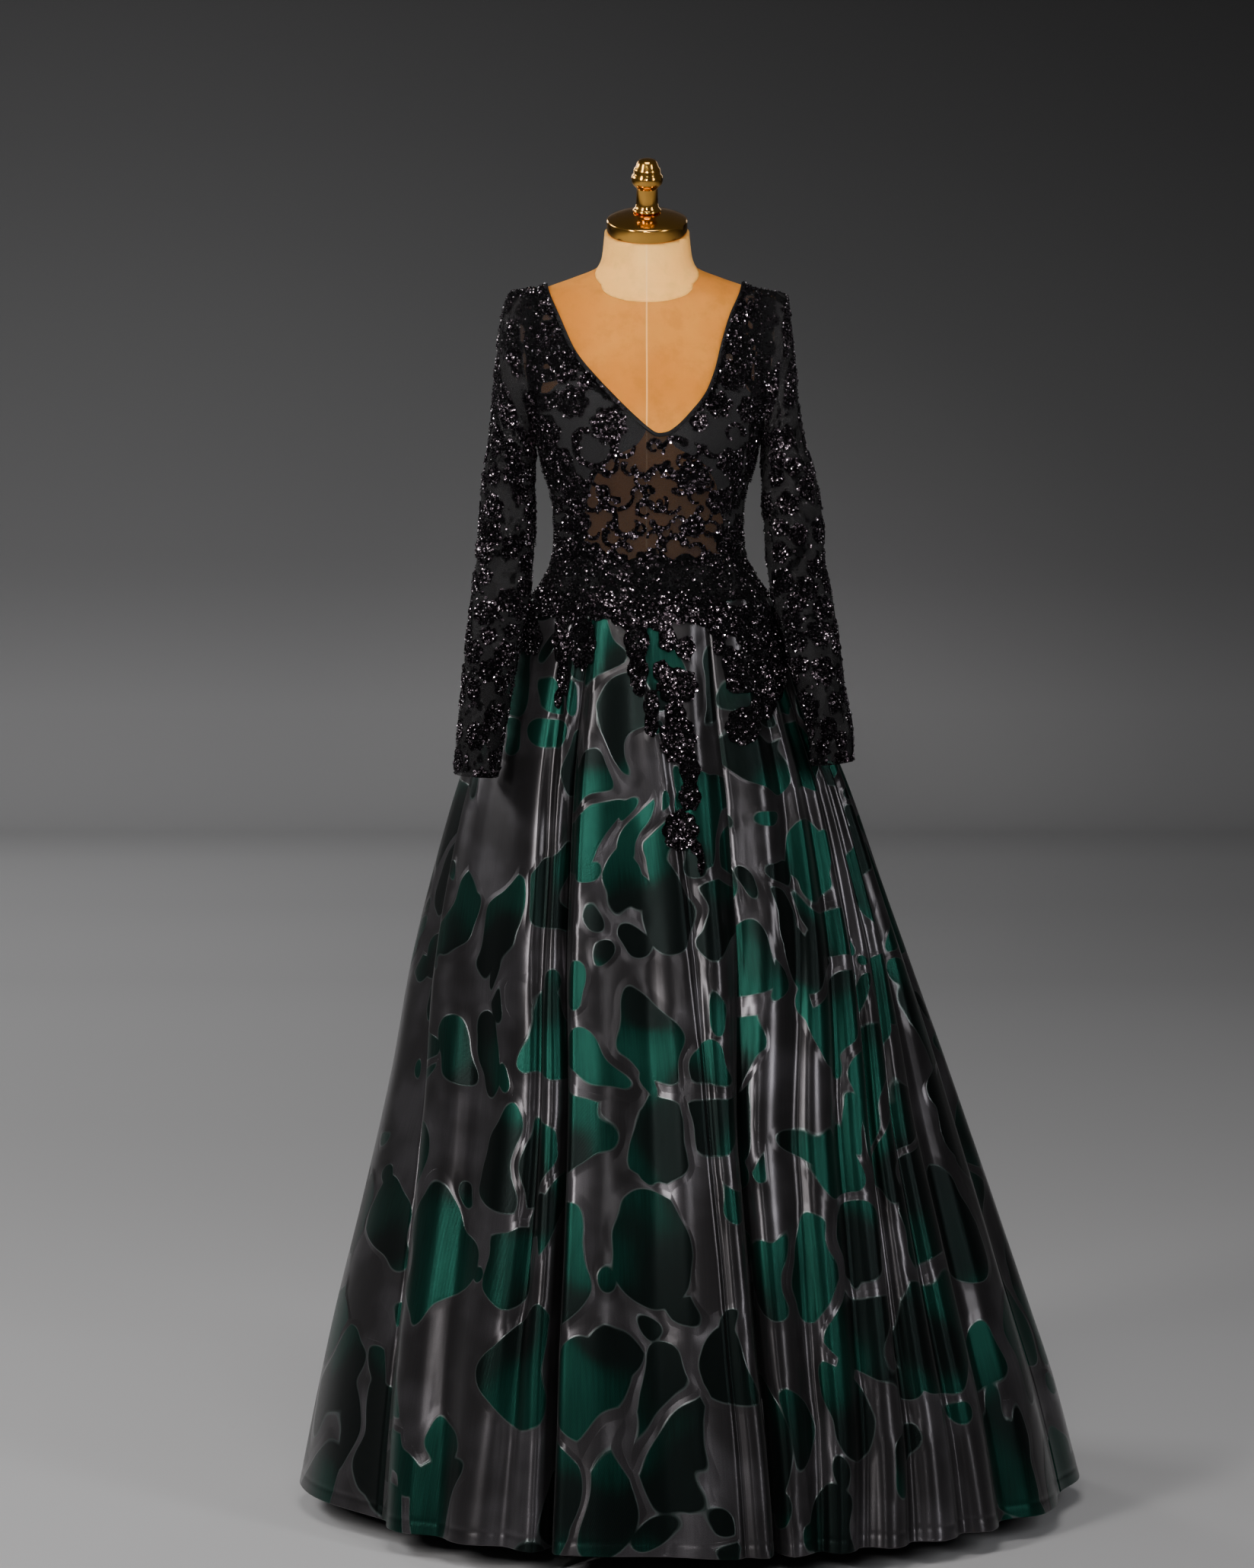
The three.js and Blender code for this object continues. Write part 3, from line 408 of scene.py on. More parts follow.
def unit(vectors):
    """The same directions with a length of 1."""
    return vectors / np.maximum(np.linalg.norm(vectors, axis=-1, keepdims=True), 1e-9)


def section_point(curves, angle, z):
    """Points of a rounded section: 0 at +X, a quarter turn at the back."""
    cos = np.cos(angle)
    sin = np.sin(angle)
    power = 2 / curves["round"](z)
    depth = np.where(sin < 0, curves["front"](z), curves["back"](z))
    x = curves["centre"](z) + curves["half"](z) * np.sign(cos) * np.abs(cos) ** power
    y = depth * np.sign(sin) * np.abs(sin) ** power
    return np.stack([x, y, z + np.zeros_like(x)], axis=-1)


def body_grid(angles, levels):
    """The form's surface, one row for each level."""
    angle, z = np.meshgrid(angles, levels)
    points = section_point(BODY_CURVES, angle, z)
    up = ((z - CUP["z"]) / CUP["tall"]) ** 2
    cups = 0.0
    for side in (-CUP["x"], CUP["x"]):
        across = ((points[..., 0] - CENTRE_X - side) / CUP["wide"]) ** 2
        cups = cups + np.exp(-(across + up) / 2)
    points[..., 1] -= CUP["proud"] * cups * np.maximum(0.0, -np.sin(angle))
    return points


def skirt_grid(places, levels):
    """The skirt's outer surface. A place is the fold's number and the share to the next crest."""
    z = np.asarray(levels, float)[:, None]
    count = len(FOLD_ROWS)
    columns = []
    for place in places:
        index = math.floor(place)
        along = place - index
        turns, number = divmod(index, count)
        next_turns, next_number = divmod(index + 1, count)
        valley, shallow, deep = FOLD_ROWS[number][4:]
        crest = CRESTS[number](z) + 360 * turns
        following = CRESTS[next_number](z) + 360 * next_turns
        share = 2 * along * valley if along < 0.5 else valley + (2 * along - 1) * (1 - valley)
        angle = np.radians(crest + (following - crest) * share)
        drop = np.clip((FOLD_TOP_Z - z) / (FOLD_TOP_Z - HEM_Z), 0, 1) ** 0.8
        start = smoothstep(FOLD_START_Z - z, 0, FOLD_START_Z - FOLD_TOP_Z)
        depth = (shallow + (deep - shallow) * drop) * start
        point = section_point(SKIRT_CURVES, angle, z)
        reach = np.where(np.sin(angle) < 0, SKIRT_CURVES["front"](z), SKIRT_CURVES["back"](z))
        inward = np.stack(
            [-np.cos(angle) / SKIRT_CURVES["half"](z), -np.sin(angle) / reach, 0 * angle], axis=-1)
        inward /= np.linalg.norm(inward, axis=-1, keepdims=True)
        sink = depth * (1 - math.cos(2 * math.pi * along)) / 2
        columns.append((point + inward * sink[..., None])[:, 0])
    return np.stack(columns, axis=1)


def normals_of(grid, wrapped):
    """Unit normals of a grid whose rows go up and whose columns go round."""
    if wrapped:
        across = np.roll(grid, -1, axis=1) - np.roll(grid, 1, axis=1)
    else:
        across = np.gradient(grid, axis=1)
    up = np.gradient(grid, axis=0)
    return unit(np.cross(across, up))


def even_levels(low, high, pitch):
    """Heights between two, spaced evenly along the form's side rather than by height."""
    fine = np.linspace(low, high, 1500)
    side = body_grid([0.0, math.pi * 1.75, math.pi / 2], fine)
    steps = np.linalg.norm(np.diff(side, axis=0), axis=-1).max(axis=1)
    length = np.concatenate([[0.0], np.cumsum(steps)])
    count = max(2, int(round(length[-1] / pitch)))
    return np.interp(np.linspace(0, length[-1], count + 1), length, fine)


def lattice_noise(x, y, seed):
    """Smooth noise from 0 to 1 over a unit lattice."""
    table = np.random.default_rng(seed).random((64, 64))
    xi = np.floor(x).astype(int)
    yi = np.floor(y).astype(int)
    tx = x - xi
    ty = y - yi
    tx = tx * tx * (3 - 2 * tx)
    ty = ty * ty * (3 - 2 * ty)
    corner = [[table[(xi + i) % 64, (yi + j) % 64] for j in (0, 1)] for i in (0, 1)]
    low = corner[0][0] * (1 - tx) + corner[1][0] * tx
    high = corner[0][1] * (1 - tx) + corner[1][1] * tx
    return low * (1 - ty) + high * ty


def line_distance(x, z, line):
    """The distance of each point from a line of points."""
    best = np.full(np.shape(x), 1e9)
    for (ax, az), (bx, bz) in zip(line[:-1], line[1:]):
        dx = bx - ax
        dz = bz - az
        t = np.clip(((x - ax) * dx + (z - az) * dz) / (dx * dx + dz * dz), 0, 1)
        best = np.minimum(best, np.hypot(x - ax - t * dx, z - az - t * dz))
    return best


def inside_polygon(x, z, polygon):
    """True where a point lies inside a closed polygon."""
    inside = np.zeros(np.shape(x), bool)
    for (ax, az), (bx, bz) in zip(polygon, polygon[1:] + polygon[:1]):
        crosses = (az > z) != (bz > z)
        level = bz - az if bz != az else 1e-9
        inside ^= crosses & (x < ax + (z - az) * (bx - ax) / level)
    return inside


def rounded_line(points, closed):
    """The same line with its corners cut three times."""
    for _ in range(3):
        pairs = list(zip(points, points[1:] + points[:1])) if closed else list(zip(points, points[1:]))
        cut = []
        for (ax, az), (bx, bz) in pairs:
            cut.append((ax * 0.75 + bx * 0.25, az * 0.75 + bz * 0.25))
            cut.append((ax * 0.25 + bx * 0.75, az * 0.25 + bz * 0.75))
        points = cut if closed else [points[0]] + cut + [points[-1]]
    return points


NECK_FRONT_CURVE = smooth_curve(*zip(*NECK_FRONT))
NECK_BACK_CURVE = smooth_curve(*zip(*NECK_BACK))
NECK_XS = np.linspace(NECK_FRONT[0][0], NECK_FRONT[-1][0], 120)
NECK_FRONT_LINE = [(x, float(NECK_FRONT_CURVE(x))) for x in NECK_XS]
NECK_BACK_LINE = [(x, float(NECK_BACK_CURVE(x))) for x in NECK_XS]
WINDOW_LINE = rounded_line(LINING_WINDOW, True)


def neck_room(points):
    """How far below the neckline a point lies, front and back."""
    x = points[..., 0]
    z = points[..., 2]
    front = np.where(z < NECK_FRONT_CURVE(x), 1, -1) * line_distance(x, z, NECK_FRONT_LINE)
    back = np.where(z < NECK_BACK_CURVE(x), 1, -1) * line_distance(x, z, NECK_BACK_LINE)
    return np.where(points[..., 1] < 0, front, back)


def bodice_room(points):
    """How far a point lies inside the bodice's neckline and armholes."""
    side = ARMHOLE_X - np.abs(points[..., 0] - CENTRE_X)
    return np.minimum(side, neck_room(points))


def lining_room(points):
    """How far a point lies inside the lining's outline."""
    x = points[..., 0]
    z = points[..., 2]
    top = np.interp(x, *zip(*LINING_TOP)) - z
    around = line_distance(x, z, WINDOW_LINE + WINDOW_LINE[:1])
    window = np.where(inside_polygon(x, z, WINDOW_LINE), -1, 1) * around
    window = np.where(points[..., 1] < 0, window, 50.0)
    return np.minimum(np.minimum(bodice_room(points) - 0.5, top), window)


def lace_room(points):
    """How far a point lies inside the hip lace's scalloped outline."""
    x = points[..., 0]
    z = points[..., 2]
    facing = points[..., 1] < 0
    room = z - LACE_CLOSED_Z
    for lobes, here in ((HIP_FRONT_FLOWERS, facing), (HIP_BACK_FLOWERS, ~facing)):
        for cx, cz, wide, tall in lobes:
            dx = (x - cx) / wide
            dz = (z - cz) / tall
            edge = lobe_edge(np.arctan2(dz, dx), wide, tall)
            lobe = (edge - np.hypot(dx, dz)) * min(wide, tall)
            room = np.maximum(room, np.where(here, lobe, -99.0))
    top = 1243 + 9 * np.abs(np.sin(x / 10.5)) + 4 * np.sin(x / 31) - z
    return np.minimum(room, top)


def lobe_edge(turn, wide, tall):
    """The scalloped edge of a lobe of lace, as a share of its size."""
    petals = max(5, round((wide + tall) / 6))
    return 1 - 0.16 * (1 - np.abs(np.cos(petals * turn / 2)))


def petal_edge(turn, petals):
    """The edge of a flower with petals, as a share of its radius."""
    return 0.78 + 0.22 * np.abs(np.cos(petals * turn / 2))


def flowers_at(x, z, flowers):
    """How strongly the flowers' petals cover each point."""
    cover = np.zeros(np.shape(x))
    for cx, cz, radius, petals in flowers:
        away = np.hypot(x - cx, z - cz) / radius
        turn = np.arctan2(z - cz, x - cx) + cx
        petal = smoothstep(petal_edge(turn, petals) - away, 0, 0.08)
        gap = smoothstep(np.abs(away - 0.34), 0.02, 0.07) * 0.75 + 0.25
        vein = smoothstep(np.abs(np.cos(petals * turn / 2)), 0.06, 0.2)
        split = np.where(away > 0.36, 0.35 + 0.65 * vein, 1.0)
        cover = np.maximum(cover, petal * gap * split)
    return cover


def scrolls_at(x, z, scrolls):
    """How strongly the scrolls of beads cover each point."""
    cover = np.zeros(np.shape(x))
    for cx, cz, radius, first, sweep, half in scrolls:
        turn = np.mod(np.degrees(np.arctan2(z - cz, x - cx)) - first, 360)
        share = turn / sweep
        wide = half * (1.15 - 0.75 * np.clip(share, 0, 1))
        reach = radius * (1 - 0.25 * np.clip(share, 0, 1))
        off = np.abs(np.hypot(x - cx, z - cz) - reach)
        cover = np.maximum(cover, np.where(turn <= sweep, smoothstep(wide - off, 0, 1.2), 0))
        end = math.radians(first)
        bulb = np.hypot(x - cx - radius * math.cos(end), z - cz - radius * math.sin(end))
        cover = np.maximum(cover, smoothstep(half * 1.5 - bulb, 0, 1.2))
    return cover


def patches(x, z, size, share, seed):
    """Uneven patches that cover about a share of the cloth."""
    value = 0.65 * lattice_noise(x / size, z / size, seed)
    value = value + 0.35 * lattice_noise(x / size * 2.3 + 9, z / size * 2.3, seed + 1)
    return smoothstep(value, 0.5 - (share - 0.5) * 0.8 - 0.06, 0.5 - (share - 0.5) * 0.8 + 0.06)


def bodice_lace(points):
    """How much lace and beads cover the bodice at each point, from 0 to 1."""
    x = points[..., 0]
    z = points[..., 2]
    front = points[..., 1] < 0
    aside = np.abs(x - LACE_MIDDLE_X)
    inner = np.interp(z, *zip(*LACE_INNER))
    side = smoothstep(aside, inner - 6, inner + 8)
    share = np.where(front, 0.2 + 0.42 * side, 0.42)
    share = np.maximum(share, 0.36 * smoothstep(z, 1440, 1480))
    low = smoothstep(1244 + 5 * np.abs(np.sin(x / 11)) - z, 0, 4)
    share = np.maximum(share, 0.97 * low)
    scatter = patches(x + points[..., 1] * 0.7, z, 11, np.clip(share, 0, 1), 11)
    scatter = np.where(share < 0.25, 0.0, scatter)
    line = np.where(front, line_distance(x, z, NECK_FRONT_LINE), line_distance(x, z, NECK_BACK_LINE))
    rim = smoothstep(9 + 9 * lattice_noise(x / 9, z / 9, 5) - line, 0, 3) * (z > 1440)
    edge = smoothstep(7 + 7 * lattice_noise(z / 7, x / 40, 8) - (ARMHOLE_X - np.abs(x - CENTRE_X)), 0, 4)
    rim = np.maximum(rim, edge)
    motif = np.maximum(flowers_at(x, z, FRONT_FLOWERS), scrolls_at(x, z, FRONT_SCROLLS))
    motif = np.where(front, motif, flowers_at(x, z, BACK_FLOWERS))
    return np.clip(np.maximum(np.maximum(scatter, motif), rim * 0.9), 0, 1)


def flower_rows(flowers):
    """Beads in rows along the petals: x, z."""
    found = [np.zeros((0, 2))]
    for cx, cz, radius, petals in flowers:
        for share in FLOWER_RINGS:
            count = max(4, int(2 * math.pi * radius * share / SEWN_PITCH))
            turn = np.linspace(0, 2 * math.pi, count, endpoint=False)
            reach = radius * share * (petal_edge(turn + cx, petals) if share > 0.3 else 0.8)
            found.append(np.stack([cx + reach * np.cos(turn), cz + reach * np.sin(turn)], axis=1))
    return np.concatenate(found)


def lobe_rows(lobes):
    """Beads in rows along the edges of the hip lace's flowers: x, z."""
    found = [np.zeros((0, 2))]
    for cx, cz, wide, tall in lobes:
        for share in HIP_RINGS:
            count = max(4, int(math.pi * (wide + tall) * share / SEWN_PITCH))
            turn = np.linspace(0, 2 * math.pi, count, endpoint=False)
            reach = share * lobe_edge(turn, wide, tall)
            ring = [cx + wide * reach * np.cos(turn), cz + tall * reach * np.sin(turn)]
            found.append(np.stack(ring, axis=1))
    return np.concatenate(found)


def scroll_rows(scrolls):
    """Beads in rows along both sides of the scrolls and round their ends: x, z."""
    found = [np.zeros((0, 2))]
    for cx, cz, radius, first, sweep, half in scrolls:
        count = int(math.radians(sweep) * radius / 1.9)
        share = np.linspace(0, 1, count)
        turn = np.radians(first + sweep * share)
        reach = radius * (1 - 0.25 * share)
        wide = half * (1.05 - 0.75 * share)
        for side in (-1, 0, 1):
            r = reach + side * wide
            found.append(np.stack([cx + r * np.cos(turn), cz + r * np.sin(turn)], axis=1))
        end = math.radians(first)
        turn = np.linspace(0, 2 * math.pi, max(6, int(2 * math.pi * half * 1.4 / 2)), endpoint=False)
        bulb = np.array([cx + radius * math.cos(end), cz + radius * math.sin(end)])
        found.append(bulb + half * 1.4 * np.stack([np.cos(turn), np.sin(turn)], axis=1))
        found.append(bulb[None])
    return np.concatenate(found)


def laid_on(grid, normal, spots, front):
    """Points of a grid's front or back where the given x and z are, with their normals."""
    heights = grid[..., 2].mean(axis=1)
    found = []
    for x, z in spots:
        row = float(np.interp(z, heights, np.arange(len(heights))))
        i = min(int(row), len(grid) - 2)
        line = grid[i] * (1 - row + i) + grid[i + 1] * (row - i)
        ahead = line[1:, 0] - x
        behind = line[:-1, 0] - x
        meets = np.where((ahead * behind <= 0) & ((line[:-1, 1] < 0) == front))[0]
        if len(meets) == 0 or not heights[0] <= z <= heights[-1]:
            continue
        depth = line[meets, 1]
        j = meets[np.argmin(depth) if front else np.argmax(depth)]
        t = abs(behind[j]) / max(abs(behind[j]) + abs(ahead[j]), 1e-9)
        point = line[j] * (1 - t) + line[j + 1] * t
        out = normal[i, j] * (1 - t) + normal[i, j + 1] * t
        found.append([*point, *out, row, j + t])
    rows = np.array(found).reshape(-1, 8)
    rows[:, 3:6] = unit(rows[:, 3:6])
    return rows


def clip_faces(data, faces, room):
    """Cuts quads along the line where room is 0. Rows of data are interpolated on the cut."""
    keep = room[faces] > 0
    whole = faces[keep.all(axis=1)].tolist()
    rows = [data]
    cut_points = {}
    added = []
    for face in faces[keep.any(axis=1) & ~keep.all(axis=1)]:
        polygon = []
        for a, b in zip(face, np.roll(face, -1)):
            if room[a] > 0:
                polygon.append(int(a))
            if (room[a] > 0) != (room[b] > 0):
                key = (min(a, b), max(a, b))
                if key not in cut_points:
                    t = room[key[0]] / (room[key[0]] - room[key[1]])
                    cut_points[key] = len(data) + len(added)
                    added.append(data[key[0]] * (1 - t) + data[key[1]] * t)
                polygon.append(cut_points[key])
        whole.append(polygon)
    if added:
        rows.append(np.array(added))
    rows = np.concatenate(rows)
    used = sorted({i for polygon in whole for i in polygon})
    order = {old: new for new, old in enumerate(used)}
    return rows[used], [[order[i] for i in polygon] for polygon in whole]


def grid_faces(rows, columns, wrapped):
    """Quads of a grid, turned out when rows go up and columns go round."""
    last = columns if wrapped else columns - 1
    i, j = np.meshgrid(np.arange(rows - 1), np.arange(last), indexing="ij")
    k = (j + 1) % columns
    quads = [i * columns + j, i * columns + k, (i + 1) * columns + k, (i + 1) * columns + j]
    return np.stack([q.ravel() for q in quads], axis=1)


def shell_of(outer, inner, polygons):
    """Points and polygons of a closed thin shell between two layers."""
    count = len(outer)
    edges = {}
    for polygon in polygons:
        for a, b in zip(polygon, polygon[1:] + polygon[:1]):
            if (b, a) in edges:
                del edges[(b, a)]
            else:
                edges[(a, b)] = True
    under = [[i + count for i in reversed(polygon)] for polygon in polygons]
    rim = [[b, a, a + count, b + count] for a, b in edges]
    return np.concatenate([outer, inner]), polygons + under + rim


def add_mesh(name, points, polygons, material, smooth=True):
    """A new object whose points are given in millimetres."""
    mesh = bpy.data.meshes.new(name)
    sizes = np.array([len(p) for p in polygons], np.int32)
    corners = np.concatenate([np.asarray(p, np.int32) for p in polygons]) if len(polygons) else []
    mesh.vertices.add(len(points))
    mesh.vertices.foreach_set("co", (np.asarray(points, float) * MM).astype(np.float32).ravel())
    mesh.loops.add(int(sizes.sum()))
    mesh.loops.foreach_set("vertex_index", corners)
    mesh.polygons.add(len(sizes))
    starts = np.concatenate([[0], np.cumsum(sizes)[:-1]]).astype(np.int32)
    mesh.polygons.foreach_set("loop_start", starts)
    mesh.polygons.foreach_set("loop_total", sizes)
    mesh.polygons.foreach_set("use_smooth", np.full(len(sizes), smooth))
    mesh.update(calc_edges=True)
    mesh.validate()
    obj = bpy.data.objects.new(name, mesh)
    bpy.context.scene.collection.objects.link(obj)
    mesh.materials.append(material)
    return obj


def set_value(obj, name, values):
    """Gives each vertex a number that a material can read."""
    attribute = obj.data.attributes.new(name, "FLOAT", "POINT")
    attribute.data.foreach_set("value", np.asarray(values, np.float32))


def sheet_area(obj):
    """Half of a shell's surface, which is the area of its cloth."""
    areas = np.empty(len(obj.data.polygons), np.float32)
    obj.data.polygons.foreach_get("area", areas)
    return float(areas.sum()) / 2


def place(obj, slot, node):
    """Parents a piece to the form's body and hides the CAD solid that it stands for. What it is made of,
    the slot, is not used.
    """
    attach(obj, BODY)
    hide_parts(node)


def place_sheet(obj, slot, node):
    place(obj, slot, node)
    sheet_area(obj)


class Graph:
    """A material's node tree, with short calls to add nodes."""

    def __init__(self, name):
        self.material = bpy.data.materials.new(name)
        self.material.use_nodes = True
        self.tree = self.material.node_tree
        self.shader = self.tree.nodes["Principled BSDF"]
        self.output = self.tree.nodes["Material Output"]

    def link(self, value, socket):
        """Links another node's socket, or sets a number or a colour."""
        if isinstance(value, bpy.types.NodeSocket):
            self.tree.links.new(value, socket)
        elif socket.type == "RGBA":
            socket.default_value = (*value, 1.0)
        else:
            socket.default_value = value

    def add(self, kind, values=None, output=0, **settings):
        """Adds a node with its inputs and settings, and gives one of its outputs."""
        node = self.tree.nodes.new(kind)
        for name, value in settings.items():
            setattr(node, name, value)
        for key, value in (values or {}).items():
            self.link(value, node.inputs[key])
        return node.outputs[output]

    def math(self, operation, a, b=0.0, c=0.0):
        return self.add("ShaderNodeMath", {0: a, 1: b, 2: c}, operation=operation)

    def step(self, value, low, high):
        """From 0 at low to 1 at high, with no corner at either."""
        return self.add(
            "ShaderNodeMapRange", {0: value, 1: low, 2: high, 3: 0.0, 4: 1.0},
            interpolation_type="SMOOTHSTEP")

    def mix(self, share, a, b):
        """Colour a where the share is 0 and b where it is 1."""
        node = self.tree.nodes.new("ShaderNodeMix")
        node.data_type = "RGBA"
        self.link(share, node.inputs[0])
        self.link(a, node.inputs[6])
        self.link(b, node.inputs[7])
        return node.outputs[2]

    def noise(self, vector, scale, detail=2.0, roughness=0.5):
        return self.add(
            "ShaderNodeTexNoise",
            {"Vector": vector, "Scale": scale, "Detail": detail, "Roughness": roughness})

    def bump(self, height, strength, distance):
        """Raises the surface's look by a height."""
        normal = self.add(
            "ShaderNodeBump", {"Height": height, "Strength": strength, "Distance": distance})
        self.link(normal, self.shader.inputs["Normal"])

    def set(self, **values):
        """Sets the shader's inputs, named with _ for a space."""
        for name, value in values.items():
            self.link(value, self.shader.inputs[name.replace("_", " ")])


def velvet_material(name, colour, pale):
    """Short velvet pile, a little worn, with a thin seam down the middle."""
    g = Graph(name)
    place = g.add("ShaderNodeTexCoord", output=3)
    cloud = g.noise(place, 9.0, 3.0)
    pile = g.noise(place, 900.0, 2.0)
    worn = g.noise(place, 38.0, 4.0, 0.6)
    tone = g.mix(g.step(cloud, 0.35, 0.7), colour, pale)
    shade = [c * 0.78 for c in colour]
    tone = g.mix(g.math("MULTIPLY", g.step(worn, 0.45, 0.7), 0.45), tone, shade)
    across = g.add("ShaderNodeSeparateXYZ", {0: place}).node.outputs[0]
    beside = g.math("ABSOLUTE", g.math("ADD", across, g.math("MULTIPLY", cloud, 0.0012)))
    seam = g.math("SUBTRACT", 1.0, g.step(beside, 0.0006, 0.0015))
    tone = g.mix(g.math("MULTIPLY", seam, 0.5), tone, SEAM_THREAD)
    g.set(Base_Color=tone, Roughness=0.9, Specular_IOR_Level=0.08)
    g.set(Sheen_Weight=0.08, Sheen_Roughness=0.4, Sheen_Tint=(1.0, 0.8, 0.55))
    g.bump(g.math("ADD", pile, g.math("MULTIPLY", worn, 0.6)), 0.25, 0.0006)
    return g.material


def gold_material(colour):
    """Polished amber gold with faint smears."""
    g = Graph("gold")
    place = g.add("ShaderNodeTexCoord", output=3)
    smear = g.noise(place, 30.0, 4.0, 0.6)
    brushed = g.noise(place, 400.0, 2.0)
    rough = g.add("ShaderNodeMapRange", {0: smear, 1: 0.3, 2: 0.8, 3: 0.1, 4: 0.26})
    tone = g.mix(smear, colour, (0.72, 0.36, 0.07))
    g.set(Base_Color=tone, Metallic=1.0, Roughness=rough)
    g.bump(brushed, 0.03, 0.0002)
    return g.material


def metal_material():
    """Dark satin paint on the stand."""
    g = Graph("stand_metal")
    place = g.add("ShaderNodeTexCoord", output=3)
    grain = g.noise(place, 500.0, 3.0)
    scuff = g.noise(place, 22.0, 4.0, 0.65)
    g.set(Base_Color=g.mix(scuff, (0.025, 0.024, 0.022), (0.05, 0.047, 0.043)))
    g.set(Metallic=0.2, Roughness=g.add("ShaderNodeMapRange", {0: scuff, 3: 0.35, 4: 0.55}))
    g.bump(grain, 0.12, 0.0003)
    return g.material


def lining_material(colour):
    """Matt lining cloth."""
    g = Graph("lining")
    place = g.add("ShaderNodeTexCoord", output=3)
    cloud = g.noise(place, 14.0, 3.0)
    g.set(Base_Color=g.mix(cloud, (0.032, 0.036, 0.042), colour))
    g.set(Roughness=0.62, Sheen_Weight=0.25, Sheen_Roughness=0.5)
    g.bump(g.noise(place, 1400.0, 1.0), 0.2, 0.0003)
    return g.material


def net_material(colour, sheer):
    """Fine net, which is denser and darker where the lace lies on it."""
    g = Graph("net")
    place = g.add("ShaderNodeTexCoord", output=3)
    lace = g.add("ShaderNodeAttribute", output=2, attribute_name="lace")
    threads = g.noise(place, 700.0, 2.0, 0.7)
    ragged = g.math("ADD", lace, g.math("MULTIPLY", g.math("SUBTRACT", threads, 0.5), 0.5))
    cover = g.step(ragged, 0.3, 0.7)
    bare = g.math("ADD", sheer, g.math("MULTIPLY", threads, 0.26))
    alpha = g.math("ADD", bare, g.math("MULTIPLY", cover, 0.48))
    g.set(Base_Color=g.mix(cover, colour, (0.0012, 0.0012, 0.0015)))
    g.set(Alpha=g.math("MINIMUM", alpha, 0.97), Roughness=0.9, Specular_IOR_Level=0.15)
    g.bump(g.math("ADD", threads, g.math("MULTIPLY", cover, 1.2)), 0.5, 0.0006)
    return g.material


def binding_material(colour):
    """Satin binding."""
    g = Graph("binding")
    place = g.add("ShaderNodeTexCoord", output=3)
    g.set(Base_Color=colour, Roughness=0.6, Specular_IOR_Level=0.2)
    g.bump(g.noise(place, 900.0, 2.0), 0.25, 0.0004)
    return g.material


def bead_material():
    """Black glass beads."""
    g = Graph("beads")
    place = g.add("ShaderNodeTexCoord", output=3)
    vary = g.noise(place, 260.0, 1.0)
    g.set(Base_Color=g.mix(g.step(vary, 0.45, 0.65), (0.0015, 0.001, 0.0015), (0.006, 0.004, 0.006)))
    g.set(Roughness=g.add("ShaderNodeMapRange", {0: vary, 3: 0.05, 4: 0.12}))
    g.set(Specular_IOR_Level=0.6, Specular_Tint=(1.0, 0.9, 0.97))
    return g.material


def sequin_material(colour):
    """Small metallic discs, some of them dark."""
    g = Graph("sequins")
    place = g.add("ShaderNodeTexCoord", output=3)
    vary = g.noise(place, 220.0, 1.0)
    tone = g.mix(g.step(vary, 0.45, 0.7), (0.04, 0.03, 0.036), colour)
    g.set(Base_Color=tone, Metallic=0.9, Roughness=0.08)
    return g.material


def pebbles(g, place, scale, least, most, bare):
    """How far each point lies inside a rounded cell, in metres."""
    settings = {"voronoi_dimensions": "2D"}
    inputs = {"Vector": place, "Scale": scale, "Randomness": 0.92}
    cell = g.add("ShaderNodeTexVoronoi", inputs, feature="F1", **settings).node
    edge = g.add("ShaderNodeTexVoronoi", inputs, feature="DISTANCE_TO_EDGE", **settings)
    random = g.add("ShaderNodeSeparateColor", {0: cell.outputs["Color"]}).node
    size = g.add("ShaderNodeMapRange", {0: random.outputs[1], 3: least, 4: most})
    disc = g.math("SUBTRACT", size, cell.outputs["Distance"])
    inside = g.math("SMOOTH_MIN", g.math("SUBTRACT", edge, 0.06), disc, 0.26)
    hidden = g.math("LESS_THAN", random.outputs[0], bare)
    inside = g.math("SUBTRACT", inside, g.math("MULTIPLY", hidden, 2.0))
    return g.math("MAXIMUM", g.math("DIVIDE", inside, scale), -0.03)


